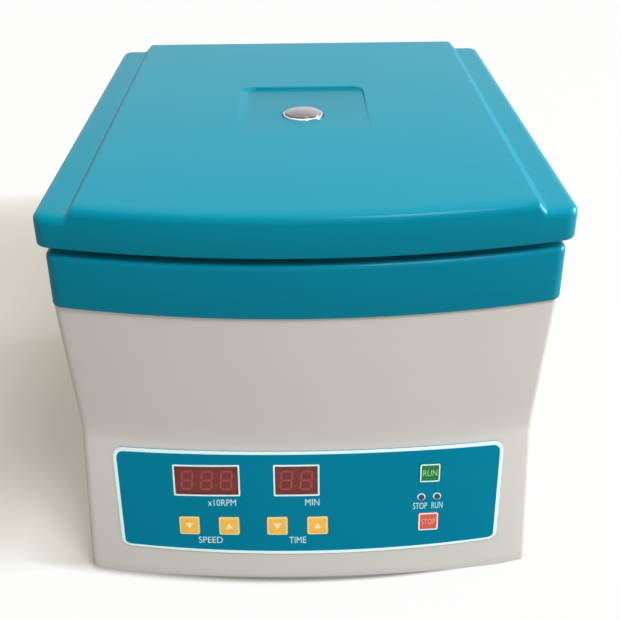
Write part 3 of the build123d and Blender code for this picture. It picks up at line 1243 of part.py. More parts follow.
def control_board():
    """Logic board with its chip and connector."""
    length, width = CONTROL_BOARD_SIZE
    board = Box(length, width, BOARD_THICKNESS, align=UP)
    board += Pos(-length / 5, 0, BOARD_THICKNESS) * Box(*CHIP_SIZE, align=UP)
    board += Pos(length / 5, width / 4, BOARD_THICKNESS) * Box(*CONNECTOR_SIZE, align=UP)
    return Pos(CONTROL_BOARD_X, CONTROL_BOARD_Y, BOARD_BOTTOM) * board


# ------------------------------------------------------------------ the assembly
NODES = {
    "lower_housing": lower_housing,
    "upper_collar": upper_collar,
    "base_plate": base_plate,
    "rubber_feet": rubber_feet,
    "base_fasteners": lambda: base_screws() + mount_bolts(),
    "chamber_wall": chamber_wall,
    "chamber_flange": chamber_flange,
    "chamber_floor": chamber_floor,
    "chamber_gasket": chamber_gasket,
    "spindle_boot": spindle_boot,
    "motor_barrel": motor_barrel,
    "motor_caps": lambda: [motor_cap(MOTOR_BOTTOM, LOWER_BEARING), motor_cap(BARREL_TOP, UPPER_BEARING)],
    "shaft_bearings": lambda: [bearing(LOWER_BEARING), bearing(UPPER_BEARING)],
    "motor_stator": motor_stator,
    "motor_core": motor_core,
    "motor_shaft": motor_shaft,
    "cooling_fan": cooling_fan,
    "motor_mount_plate": motor_mount_plate,
    "rubber_mounts": rubber_mounts,
    "speed_sensor": speed_sensor,
    "rotor_yoke": rotor_yoke,
    "rotor_nut": rotor_nut,
    "pivot_pins": pivot_pins,
    "plate_carrier_front": lambda: plate_carrier(-1),
    "plate_carrier_rear": lambda: plate_carrier(1),
    "lid_shell": lid_shell,
    "lid_liner": lid_liner,
    "lid_screws": lid_screws,
    "sight_bezel": sight_bezel,
    "sight_lens": sight_lens,
    "sight_tube": sight_tube,
    "lid_striker": lid_striker,
    "hinge_brackets": hinge_brackets,
    "hinge_leaves": hinge_leaves,
    "hinge_pins": hinge_pins,
    "collar_screws": lambda: bowl_screws() + hinge_screws(),
    "lock_solenoid": lock_solenoid,
    "lock_bolt": lock_bolt,
    "panel_overlay": panel_overlay,
    "speed_window": lambda: display_window(SPEED_WINDOW_X, SPEED_WINDOW_WIDTH),
    "time_window": lambda: display_window(TIME_WINDOW_X, TIME_WINDOW_WIDTH),
    "speed_digits": lambda: digit_modules(SPEED_WINDOW_X, SPEED_DIGITS),
    "time_digits": lambda: digit_modules(TIME_WINDOW_X, TIME_DIGITS),
    "display_boards": display_boards,
    "keypad_membrane": keypad_membrane,
    "status_lamps": status_lamps,
    "power_inlet": power_inlet,
    "fuse_drawer": fuse_drawer,
    "switch_bezel": switch_bezel,
    "power_rocker": power_rocker,
    "transformer": transformer,
    "power_board": power_board,
    "control_board": control_board,
    "board_standoffs": board_standoffs,
}


def build_node(make):
    """Return a node as one part, also where it is a group of separate solids."""
    made = make()
    if isinstance(made, list):
        return Compound([solid for piece in made for solid in piece.solids()])
    return made


os.makedirs("parts", exist_ok=True)
for node_name, make_node in NODES.items():
    export_step(build_node(make_node), f"parts/{node_name}.step")
for key_name, (key_across, key_row) in KEYS.items():
    export_step(panel_key(key_across, key_row), f"parts/{key_name}.step")
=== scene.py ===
"""Looks of a bench centrifuge for microplates: shells, panel, lettering, finishes, light and camera."""
import logging
import math
from dataclasses import dataclass
from enum import Enum
from typing import Callable, Iterable, Sequence, Union

import bpy
import numpy as np
from mathutils import Matrix, Vector


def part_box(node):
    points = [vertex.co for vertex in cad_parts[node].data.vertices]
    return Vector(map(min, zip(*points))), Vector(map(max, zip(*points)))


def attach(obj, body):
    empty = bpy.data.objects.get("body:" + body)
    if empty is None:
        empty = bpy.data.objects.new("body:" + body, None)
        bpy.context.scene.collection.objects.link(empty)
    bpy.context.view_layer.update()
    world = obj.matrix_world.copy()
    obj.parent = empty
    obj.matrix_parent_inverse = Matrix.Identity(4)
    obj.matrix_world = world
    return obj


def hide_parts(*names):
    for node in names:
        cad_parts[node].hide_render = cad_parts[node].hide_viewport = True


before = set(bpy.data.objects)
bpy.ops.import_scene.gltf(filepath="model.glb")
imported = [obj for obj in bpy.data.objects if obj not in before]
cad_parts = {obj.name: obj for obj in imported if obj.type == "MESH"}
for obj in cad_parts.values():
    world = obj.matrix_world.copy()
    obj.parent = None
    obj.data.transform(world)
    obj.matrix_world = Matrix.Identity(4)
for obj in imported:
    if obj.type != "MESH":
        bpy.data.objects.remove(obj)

log = logging.getLogger("centrifuge")
MM = 0.001
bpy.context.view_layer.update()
Colour = tuple[int, int, int]
Place = Callable[[np.ndarray], np.ndarray]
Level = Callable[[float, float], np.ndarray]
TOUCH = 0.01
ROUND_STEPS = 64
LETTER_OFFSET = -0.004


# ------------------------------------------------------------------ shader arithmetic
def math_method(operation: str, swapped: bool = False) -> Callable[["Signal", "Value"], "Signal"]:
    """Method of a signal that adds one Math node.

    Args:
        operation: Blender's name of what the node does.
        swapped: Whether the other number comes first.

    Returns:
        The method.
    """

    def method(self: "Signal", other: "Value") -> "Signal":
        """Put both numbers into the node and return what it gives."""
        first, second = (other, self) if swapped else (self, other)
        made = self.graph.node("ShaderNodeMath", {"operation": operation}, {0: first, 1: second})
        return Signal(self.graph, made.outputs[0])

    return method


class Signal:
    """A number that a shader socket gives, ready for arithmetic."""

    def __init__(self, graph: "Graph", socket: bpy.types.NodeSocket) -> None:
        """Keep the socket and the graph that new nodes go into."""
        self.graph = graph
        self.socket = socket

    __add__ = __radd__ = math_method("ADD")
    __sub__ = math_method("SUBTRACT")
    __rsub__ = math_method("SUBTRACT", swapped=True)
    __mul__ = __rmul__ = math_method("MULTIPLY")
    __truediv__ = math_method("DIVIDE")
    highest = math_method("MAXIMUM")
    lowest = math_method("MINIMUM")
    below = math_method("LESS_THAN")


Value = Union[float, Signal]


class Graph:
    """The nodes of one material or of the world, added by type, settings and inputs."""

    def __init__(self, owner: Union[bpy.types.Material, bpy.types.World]) -> None:
        """Clear the owner's nodes and write into them."""
        self.owner = owner
        self.owner.use_nodes = True
        self.tree = self.owner.node_tree
        self.tree.nodes.clear()

    @classmethod
    def of_material(cls, name: str) -> "Graph":
        """Start an empty material."""
        return cls(bpy.data.materials.new(name))

    def node(self, kind: str, settings: dict | None = None, inputs: dict | None = None) -> bpy.types.Node:
        """Add a node.

        Args:
            kind: Blender's name of the node type.
            settings: Properties of the node, set before its inputs.
            inputs: Values, signals or sockets by input name or number.

        Returns:
            The new node.
        """
        made = self.tree.nodes.new(kind)
        for key, value in (settings or {}).items():
            setattr(made, key, value)
        for key, value in (inputs or {}).items():
            source = value.socket if isinstance(value, Signal) else value
            if isinstance(source, bpy.types.NodeSocket):
                self.tree.links.new(source, made.inputs[key])
            else:
                made.inputs[key].default_value = source
        return made

    def position(self, stretch: Sequence[float] = (1.0, 1.0, 1.0)) -> bpy.types.NodeSocket:
        """Place on the piece in metres, stretched along each axis."""
        place = self.node("ShaderNodeTexCoord").outputs["Object"]
        return self.node("ShaderNodeMapping", None, {"Vector": place, "Scale": stretch}).outputs[0]

    def along(self, axis: str) -> Signal:
        """Place on the piece along one axis in millimetres."""
        place = self.node("ShaderNodeTexCoord").outputs["Object"]
        return Signal(self, self.node("ShaderNodeSeparateXYZ", None, {0: place}).outputs[axis]) / MM

    def noise(
        self,
        grain_mm: float,
        detail: float = 3.0,
        stretch: Sequence[float] = (1.0, 1.0, 1.0),
    ) -> Signal:
        """Noise from 0 to 1.

        Args:
            grain_mm: Size of its patches.
            detail: Number of finer layers.
            stretch: Scale of the place along each axis before the noise reads it.

        Returns:
            The noise.
        """
        inputs = {"Vector": self.position(stretch), "Scale": 1.0 / (grain_mm * MM), "Detail": detail}
        return Signal(self, self.node("ShaderNodeTexNoise", None, inputs).outputs[0])

    def between(self, share: Signal, first: Colour, second: Colour) -> bpy.types.NodeSocket:
        """Colour between two, by a share from 0 to 1."""
        inputs = {0: share, 6: linear(first), 7: linear(second)}
        return self.node("ShaderNodeMix", {"data_type": "RGBA"}, inputs).outputs[2]

    def bump(self, height: Signal, depth_mm: float) -> bpy.types.NodeSocket:
        """Normal of a surface that rises with a signal by a depth."""
        inputs = {"Height": height, "Distance": depth_mm * MM, "Strength": 1.0}
        return self.node("ShaderNodeBump", None, inputs).outputs[0]

    def finish(self, inputs: dict) -> bpy.types.Material:
        """Close the material with one principled surface."""
        surface = self.node("ShaderNodeBsdfPrincipled", None, inputs)
        self.node("ShaderNodeOutputMaterial", None, {"Surface": surface.outputs[0]})
        return self.owner


def linear(colour: Colour, share: float = 1.0) -> tuple[float, float, float, float]:
    """Colour of a paint chart as light, brightened or dimmed by a share."""
    light = [((v / 255 + 0.055) / 1.055) ** 2.4 if v > 10 else v / 3294.6 for v in colour]
    return (light[0] * share, light[1] * share, light[2] * share, 1.0)


def shaded(colour: Colour, share: float) -> Colour:
    """Colour with every channel scaled and kept in range."""
    red, green, blue = (int(max(0, min(255, value * share))) for value in colour)
    return red, green, blue


# ------------------------------------------------------------------ finishes
@dataclass(frozen=True)
class Finish:
    """What the surface of a piece is, and the material made of it."""

    name: str
    colour: Colour

    def inputs(self, graph: Graph) -> dict:
        """Inputs of the principled surface by name, each kind of finish with its own."""
        raise NotImplementedError

    def material(self) -> bpy.types.Material:
        """Make the material."""
        graph = Graph.of_material(self.name)
        return graph.finish(self.inputs(graph))


@dataclass(frozen=True)
class Moulding(Finish):
    """Moulded plastic or rubber: slightly uneven colour, fine skin, optional clear gloss."""

    uneven: float = 0.05
    patch_mm: float = 60.0
    roughness: float = 0.4
    smear: float = 0.06
    coat: float = 0.0
    grain_mm: float = 0.5
    depth_mm: float = 0.01
    specular: float = 0.35

    def inputs(self, graph: Graph) -> dict:
        """Inputs of the surface."""
        skin = graph.noise(self.grain_mm, 2.0)
        wipes = graph.noise(self.patch_mm * 0.4, 4.0, (1.0, 0.35, 1.0))
        return {
            "Base Color": self.tone(graph),
            "Roughness": wipes * self.smear + (self.roughness - self.smear / 2),
            "Specular IOR Level": self.specular,
            "Coat Weight": self.coat,
            "Coat Roughness": 0.08,
            "Normal": graph.bump(skin, self.depth_mm),
        }

    def tone(self, graph: Graph) -> bpy.types.NodeSocket:
        """Colour that drifts a little over broad patches."""
        patches = graph.noise(self.patch_mm, 2.0)
        low, high = (shaded(self.colour, 1 + way * self.uneven) for way in (-1, 1))
        return graph.between(patches, low, high)


@dataclass(frozen=True)
class RampShadeMoulding(Moulding):
    """Moulding with painted shade: its colour is deeper on the floor of a sunk ramp, standing for the ramp's
    shade and its weaker reflection.
    """

    # Colour of the painted shade on the ramp's floor.
    deep: Colour = (0, 0, 0)
    half_mm: float = 0.0
    front_mm: float = 0.0
    back_mm: float = 0.0
    fade_mm: float = 12.0

    def tone(self, graph: Graph) -> bpy.types.NodeSocket:
        """Colour of the moulding with painted shade, deeper inside the ramp and fading out towards its sides
        and its front.
        """
        across, along = graph.along("X"), graph.along("Y")
        # Share of painted shade: full inside the ramp, fading out towards its sides and its front.
        sides = ((self.half_mm - across.highest(across * -1.0)) / self.fade_mm).highest(0.0).lowest(1.0)
        front = ((along - self.front_mm) / (self.back_mm - self.front_mm)).highest(0.0).lowest(1.0)
        inside = sides * front * along.below(self.back_mm)
        patches = graph.noise(self.patch_mm, 2.0)
        share = (patches * self.uneven + (1.0 - self.uneven)) * inside
        return graph.between(share, self.colour, self.deep)


@dataclass(frozen=True)
class Ink(Finish):
    """Screen-printed ink: even colour with a faint grain in its edge of gloss."""

    roughness: float = 0.45

    def inputs(self, graph: Graph) -> dict:
        """Inputs of the surface."""
        grain = graph.noise(0.35, 3.0)
        return {
            "Base Color": graph.between(grain, shaded(self.colour, 0.97), shaded(self.colour, 1.03)),
            "Roughness": grain * 0.1 + (self.roughness - 0.05),
            "Normal": graph.bump(grain, 0.004),
        }


class Lay(Enum):
    """Direction of the marks that a tool leaves in metal, as a stretch of the noise."""

    ACROSS = (0.06, 1.0, 1.0)
    ALONG = (1.0, 0.06, 1.0)
    TURNED = (0.5, 0.5, 8.0)
    CAST = (1.0, 1.0, 1.0)


@dataclass(frozen=True)
class Metal(Finish):
    """Bare or plated metal with the marks of its making."""

    lay: Lay = Lay.CAST
    grain_mm: float = 0.6
    roughness: float = 0.32
    depth_mm: float = 0.012

    def inputs(self, graph: Graph) -> dict:
        """Inputs of the surface."""
        marks = graph.noise(self.grain_mm, 3.0, self.lay.value)
        stain = graph.noise(24.0, 3.0)
        return {
            "Base Color": graph.between(stain, shaded(self.colour, 0.93), shaded(self.colour, 1.05)),
            "Metallic": 1.0,
            "Roughness": marks * 0.16 + stain * 0.08 + (self.roughness - 0.12),
            "Normal": graph.bump(marks, self.depth_mm),
        }


@dataclass(frozen=True)
class SmokedAcrylic(Finish):
    """Dark tinted filter that shows what lies behind it faintly."""

    cover: float = 0.6

    def inputs(self, graph: Graph) -> dict:
        """Inputs of the surface."""
        cloud = graph.noise(7.0, 3.0)
        return {
            "Base Color": graph.between(cloud, shaded(self.colour, 0.85), shaded(self.colour, 1.15)),
            "Roughness": cloud * 0.06 + 0.12,
            "Alpha": cloud * 0.1 + (self.cover - 0.05),
            "Normal": graph.bump(graph.noise(2.5, 2.0), 0.004),
        }


@dataclass(frozen=True)
class ShadedSightAcrylic(Finish):
    """Pale domed acrylic with fine swirls of wear in its gloss, and painted shade: darker towards its front,
    standing for the dark reflection and the tube seen below; the swirls break up that shade too.
    """

    # Colour of the painted shade at the lens's front, and where along y it fades to the pale colour.
    deep: Colour
    from_mm: float
    to_mm: float

    def inputs(self, graph: Graph) -> dict:
        """Inputs of the surface."""
        swirl = graph.noise(9.0, 4.0, (1.0, 2.2, 1.0))
        # Painted shade: the deep colour at the front, pale towards the back, broken up by the swirls.
        back = (graph.along("Y") - self.from_mm) / (self.to_mm - self.from_mm) + (swirl - 0.5) * 0.7
        return {
            "Base Color": graph.between(back.highest(0.0).lowest(1.0), self.deep, self.colour),
            "Roughness": swirl * 0.1 + 0.16,
            "Specular IOR Level": 0.3,
            "Coat Weight": 0.25,
            "Coat Roughness": 0.04,
            "Normal": graph.bump(graph.noise(1.2, 2.0), 0.003),
        }


@dataclass(frozen=True)
class CircuitLaminate(Finish):
    """Green board with tracks under the lacquer."""

    track: Colour

    def inputs(self, graph: Graph) -> dict:
        """Inputs of the surface."""
        inputs = {"Vector": graph.position(), "Scale": 1.0 / (5.0 * MM)}
        settings = {"feature": "DISTANCE_TO_EDGE", "distance": "EUCLIDEAN"}
        cells = graph.node("ShaderNodeTexVoronoi", settings, inputs)
        tracks = Signal(graph, cells.outputs["Distance"]).below(0.09)
        return {
            "Base Color": graph.between(tracks, self.colour, self.track),
            "Roughness": 0.42 - tracks * 0.1,
            "Normal": graph.bump(tracks, 0.03),
        }


# The collar's teal: the lid's teal set a little darker, as painted shade for its front-facing wall.
SHADED_TEAL_SHELL = Moulding("shaded_teal_shell", (0, 118, 142), 0.02, 90.0, 0.3, 0.05, 0.03, 1.4, 0.005, 0.05)
# The lid's teal, with painted shade (0, 108, 128) on the floor of its ramp.
TEAL_LID_RAMP_SHADE = RampShadeMoulding("teal_lid_ramp_shade", (0, 121, 145), 0.05, 90.0, 0.3, 0.05, 0.03, 1.4, 0.005, 0.05,
                        (0, 108, 128), 45.0, -50.0, 52.5)
GREY_SHELL = Moulding("grey_shell", (201, 199, 196), 0.012, 70.0, 0.5, 0.06, 0.0, 0.9, 0.01, 0.2)
TEAL_FILM = Moulding("teal_film", (0, 121, 151), 0.02, 50.0, 0.42, 0.05, 0.0, 0.3, 0.003, 0.04)
ORANGE_KEY = Moulding("orange_key", (240, 184, 82), 0.04, 6.0, 0.42, 0.05, 0.0, 0.3, 0.004, 0.2)
GREEN_KEY = Moulding("green_key", (20, 114, 60), 0.05, 6.0, 0.42, 0.05, 0.0, 0.3, 0.004)
RED_KEY = Moulding("red_key", (202, 92, 78), 0.05, 6.0, 0.42, 0.05, 0.0, 0.3, 0.004)
BLACK_PLASTIC = Moulding("black_plastic", (38, 38, 40), 0.08, 12.0, 0.45, 0.08, 0.0, 0.5, 0.012)
BLACK_RUBBER = Moulding("black_rubber", (30, 30, 31), 0.1, 9.0, 0.78, 0.1, 0.0, 0.7, 0.03)
LINER_PLASTIC = Moulding("liner_plastic", (212, 211, 206), 0.03, 40.0, 0.5, 0.06, 0.0, 0.8, 0.015)
NYLON = Moulding("natural_nylon", (226, 222, 208), 0.03, 8.0, 0.5, 0.06, 0.0, 0.5, 0.01)
MODULE_FACE = Moulding("module_face", (124, 60, 62), 0.08, 6.0, 0.5, 0.06, 0.0, 0.4, 0.008, 0.2)
LAMP_LENS = Moulding("lamp_lens", (52, 54, 84), 0.12, 2.0, 0.2, 0.05, 0.5, 0.3, 0.003)
SILICONE = Moulding("silicone_pad", (168, 172, 172), 0.05, 7.0, 0.6, 0.06, 0.0, 0.4, 0.01)
LACQUERED_STEEL = Moulding("lacquered_steel", (62, 66, 72), 0.08, 14.0, 0.4, 0.08, 0.2, 0.6, 0.02)
WHITE_INK = Ink("white_ink", (222, 248, 250))
WORD_INK = Ink("word_ink", (196, 232, 238))
PALE_INK = Ink("pale_ink", (246, 226, 176))
LEAF_INK = Ink("leaf_ink", (158, 212, 140))
LIME_INK = Ink("lime_ink", (212, 224, 166))
CORAL_INK = Ink("coral_ink", (242, 156, 132))
SEGMENT_INK = Ink("segment_ink", (240, 112, 98))
BRUSHED_STEEL = Metal("brushed_steel", (198, 200, 202), Lay.ALONG)
TURNED_STEEL = Metal("turned_steel", (186, 188, 190), Lay.TURNED, 0.5, 0.28)
ZINC = Metal("zinc_plate", (196, 200, 206), Lay.CAST, 1.2, 0.34)
CAST_ALUMINIUM = Metal("cast_aluminium", (178, 180, 182), Lay.CAST, 0.9, 0.45, 0.04)
ANODISED = Metal("anodised_aluminium", (176, 178, 181), Lay.ACROSS, 0.5, 0.36)
POLISHED = Metal("polished_ring", (214, 218, 222), Lay.TURNED, 0.5, 0.24, 0.004)
LAMINATIONS = Metal("laminations", (120, 116, 112), Lay.TURNED, 0.4, 0.45, 0.05)
DISPLAY_FILTER = SmokedAcrylic("display_filter", (140, 64, 62), 0.36)
# Its deep colour (84, 80, 86) is painted shade on the front of the lens.
SIGHT_GLASS = ShadedSightAcrylic("sight_glass", (132, 130, 138), (84, 80, 86), -25.0, -12.0)
BOARD = CircuitLaminate("circuit_laminate", (22, 84, 46), (58, 128, 76))


class Wardrobe:
    """Makes each finish once and hands it out by name."""

    def __init__(self) -> None:
        """Start with nothing made."""
        self.made: dict[str, bpy.types.Material] = {}

    def take(self, finish: Finish) -> bpy.types.Material:
        """Material of a finish."""
        if finish.name not in self.made:
            self.made[finish.name] = finish.material()
        return self.made[finish.name]


WARDROBE = Wardrobe()


# ------------------------------------------------------------------ meshes from grids
class Skin:
    """Points and four-sided faces of one surface, gathered patch by patch."""

    def __init__(self) -> None:
        """Start with an empty surface."""
        self.points: list[np.ndarray] = []
        self.faces: list[np.ndarray] = []
        self.count = 0

    def add(self, points: np.ndarray) -> np.ndarray:
        """Add points in millimetres and return their numbers in the same layout."""
        shape = points.shape[:-1]
        total = int(np.prod(shape))
        numbers = np.arange(self.count, self.count + total).reshape(shape)
        self.points.append(points.reshape(-1, 3))
        self.count += total
        return numbers

    def sheet(self, grid: np.ndarray, keep: np.ndarray | None = None, flip: bool = False) -> None:
        """Face a grid of point numbers.

        Args:
            grid: Rows by columns of point numbers.
            keep: Which cells get a face; all of them if left out.
            flip: Face the other way.
        """
        faces = np.stack([grid[:-1, :-1], grid[:-1, 1:], grid[1:, 1:], grid[1:, :-1]], -1)
        faces = faces[keep] if keep is not None else faces.reshape(-1, 4)
        self.faces.append(faces[:, ::-1] if flip else faces)

    def bands(self, loops: Sequence[np.ndarray]) -> None:
        """Join closed loops of point numbers in order, each edge of one to the same edge of the next."""
        for near, far in zip(loops[:-1], loops[1:]):
            self.faces.append(np.stack([near, np.roll(near, -1), np.roll(far, -1), far], -1))

    def walls(self, top: np.ndarray, bottom: np.ndarray, keep: np.ndarray, round_about: bool = False) -> None:
        """Close a slab along every border between a kept cell and a dropped one or the outside.

        Args:
            top: Point numbers of its outer side.
            bottom: Point numbers of its inner side.
            keep: Which cells it has.
            round_about: Whether the last column of cells meets the first.
        """
        padded = np.pad(keep, 1)
        if round_about:
            padded[1:-1, 0], padded[1:-1, -1] = keep[:, -1], keep[:, 0]
        inner = padded[1:-1, 1:-1]
        for side, (rows, columns) in enumerate(((0, 1), (1, 2), (2, 1), (1, 0))):
            other = padded[rows:rows + keep.shape[0], columns:columns + keep.shape[1]]
            i, j = np.nonzero(inner & ~other)
            corners = ((i, j), (i, j + 1), (i + 1, j + 1), (i + 1, j))
            near, far = corners[side], corners[(side + 1) % 4]
            self.faces.append(np.stack([bottom[near], bottom[far], top[far], top[near]], -1))

    def frame(self, level: Level, breadth: float, low: float, high: float) -> None:
        """Band all round between a loop and one set in from it, at two heights.

        Args:
            level: Gives the point numbers of a loop by its inset and its height.
            breadth: Inset of the inner loop.
            low: Lower height.
            high: Upper height.
        """
        loops = [level(inset, z) for inset, z in ((breadth, low), (0.0, low), (0.0, high), (breadth, high))]
        self.bands(loops + [loops[0]])

    def build(self, name: str, sharp_degrees: float = 40.0) -> bpy.types.Object:
        """Turn the surface into an object with smooth shading that breaks at sharp edges."""
        points = np.concatenate(self.points) * MM
        faces = np.concatenate(self.faces)
        used, faces = np.unique(faces, return_inverse=True)
        return mesh_object(name, points[used], faces.reshape(-1, 4).tolist(), sharp_degrees)


def put(name: str, data: bpy.types.ID) -> bpy.types.Object:
    """Object with the given data, linked into the scene."""
    made = bpy.data.objects.new(name, data)
    bpy.context.collection.objects.link(made)
    return made


def mesh_object(name: str, points: np.ndarray, faces: list, sharp_degrees: float) -> bpy.types.Object:
    """Object from points in metres and faces as lists of point numbers."""
    mesh = bpy.data.meshes.new(name)
    mesh.from_pydata(points.tolist(), [], faces)
    mesh.validate()
    mesh.shade_smooth()
    mesh.set_sharp_from_angle(angle=math.radians(sharp_degrees))
    return put(name, mesh)


class Lattice:
    """Lines of a grid over a rounded rectangle whose outer columns bend round its corners."""

    def __init__(
        self,
        columns: Iterable[float],
        rows: Iterable[float],
        calm: tuple[float, float],
        steps: int = 8,
        bow_end: float | None = None,
    ) -> None:
        """Set the lines.

        Args:
            columns: Places across between the corners, the first and last where the corners start.
            rows: Places along between the corners, likewise.
            calm: Rows between these two stay where they are on every loop.
            steps: Columns in each corner.
            bow_end: Row at which a bowed front has faded out, if not the first calm one.
        """
        self.columns = np.unique(np.round(list(columns), 4))
        self.rows = np.unique(np.round(list(rows), 4))
        self.calm = calm
        self.bow_end = calm[0] if bow_end is None else bow_end
        self.turn = np.linspace(0, math.pi / 2, steps + 1)[1:]

    def grid(self, half_width: float, half_depth: float, corner: float) -> np.ndarray:
        """Rows by columns of places.

        Corner columns follow x = reach + r sin t, y = -depth + r (1 - cos t).
        """
        reach = half_width - corner
        straight = self.columns * reach / self.columns[-1]
        beyond = reach + corner * np.sin(self.turn)
        rise = corner * (1 - np.cos(self.turn))
        across = np.concatenate([-beyond[::-1], straight, beyond])
        first = -half_depth + np.concatenate([rise[::-1], np.zeros(len(straight)), rise])
        rows = self.rows[:, None]
        low, high = self.calm
        front = low + (rows - low) * (first - low) / (self.rows[0] - low)
        back = high + (rows - high) * (-first - high) / (self.rows[-1] - high)
        along = np.where(rows < low, front, np.where(rows > high, back, rows + 0 * first))
        return np.stack([np.broadcast_to(across, along.shape), along], -1)

    def loop(self, half_width: float, half_depth: float, corner: float) -> np.ndarray:
        """Border of the grid, anticlockwise from its front left."""
        return rim(self.grid(half_width, half_depth, corner))

    def block(self, reach: float, middle: float, depth: float) -> tuple[slice, slice]:
        """Rows and columns of the points within a reach across and a depth on each side of a middle row."""
        columns = np.flatnonzero(np.abs(self.columns) <= reach + TOUCH) + len(self.turn)
        rows = np.flatnonzero(np.abs(self.rows - middle) <= depth + TOUCH)
        return slice(rows[0], rows[-1] + 1), slice(columns[0], columns[-1] + 1)


def cells_without(plan: np.ndarray, *blocks: tuple[slice, slice]) -> np.ndarray:
    """Which cells of a grid stay when blocks of its points are cut out."""
    keep = np.ones((plan.shape[0] - 1, plan.shape[1] - 1), bool)
    for rows, columns in blocks:
        keep[rows.start:rows.stop - 1, columns.start:columns.stop - 1] = False
    return keep


def rim(grid: np.ndarray) -> np.ndarray:
    """Border of a grid, anticlockwise from its first point."""
    return np.concatenate([grid[0], grid[1:-1, -1], grid[-1, ::-1], grid[-2:0:-1, 0]])


def lines(start: float, *runs: tuple[float, float]) -> np.ndarray:
    """Places along a line, run by run.

    Args:
        start: Where the first run starts.
        runs: Where each ends and the widest step in it; each starts where the last one ends.

    Returns:
        The places, with the shared ends twice.
    """
    parts = []
    for end, step in runs:
        parts.append(np.linspace(start, end, max(2, math.ceil((end - start) / step) + 1)))
        start = end
    return np.concatenate(parts)


def soft_step(share: np.ndarray, soft: float = 0.12) -> np.ndarray:
    """Rise from 0 to 1 as the share does, with rounded ends.

    It is half of sqrt(s2 + e2) - sqrt((s - 1)2 + e2) + 1.
    """
    return 0.5 * (np.sqrt(share**2 + soft**2) - np.sqrt((share - 1) ** 2 + soft**2) + 1)


def with_height(plan: np.ndarray, height: np.ndarray | float) -> np.ndarray:
    """Plan places with a height added."""
    return np.concatenate([plan, np.broadcast_to(height, plan.shape[:-1])[..., None]], -1)


def show(piece: bpy.types.Object, finish: Finish, body: str, slot: str, *nodes: str) -> bpy.types.Object:
    """Dress a finished piece and tie it to its body.

    Args:
        piece: Object with its place in its mesh.
        finish: What its surface is.
        body: CAD body that it rides on.
        slot: Material slot of the record; not used.
        nodes: CAD nodes that it stands for.

    Returns:
        The piece.
    """
    piece.data.materials.clear()
    piece.data.materials.append(WARDROBE.take(finish))
    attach(piece, body)
    if nodes:
        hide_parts(*nodes)
    log.info("piece %s on %s", piece.name, body)
    return piece


# ------------------------------------------------------------------ casing
def box_mm(node: str) -> tuple[Vector, Vector]:
    """Lowest and highest corner of a CAD node in millimetres."""
    low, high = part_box(node)
    return low / MM, high / MM


LID_LOW, LID_HIGH = box_mm("lid_shell")
HOUSING_LOW, HOUSING_HIGH = box_mm("lower_housing")
COLLAR_HIGH = box_mm("upper_collar")[1]


@dataclass(frozen=True)
class Casing:
    """Sizes that the shells share: a rounded rectangle with a bowed front."""

    half_width: float = LID_HIGH.x
    half_depth: float = LID_HIGH.y
    bow: float = 560.0
    corner: float = 8.0
    axis_y: float = LID_LOW.y + 177.5

    def plan(self, lattice: Lattice, insets: Sequence[float], corner: float, loop: bool) -> np.ndarray:
        """Grid or loop of a level, set in from the lid.

        The front is shifted back by R - sqrt(R2 - x2), fully as far as the corners and then fading out.

        Args:
            lattice: Lines of the grid.
            insets: Distances in from the lid at the sides, the front and the back.
            corner: Radius of the corners.
            loop: Whether only the border is wanted.

        Returns:
            Places across and along.
        """
        side, front, rear = insets
        half_depth = self.half_depth - (front + rear) / 2
        middle = (front - rear) / 2
        flat = lattice.loop if loop else lattice.grid
        plan = flat(self.half_width - side, half_depth, corner).copy()
        start = -half_depth + corner
        share = np.clip((lattice.bow_end - plan[..., 1]) / (lattice.bow_end - start), 0, 1)
        radius = self.bow - front
        plan[..., 1] += middle + share * (radius - np.sqrt(radius**2 - plan[..., 0] ** 2))
        return plan


CASING = Casing()


def circle_towards(block: np.ndarray, middle: tuple[float, float], radius: float, share: float) -> np.ndarray:
    """Loop a share of the way from a block's border to a circle round its middle."""
    away = block[..., :2] - np.array(middle)
    circle = np.array(middle) + away / np.linalg.norm(away, axis=-1, keepdims=True) * radius
    return block[..., :2] * (1 - share) + circle * share


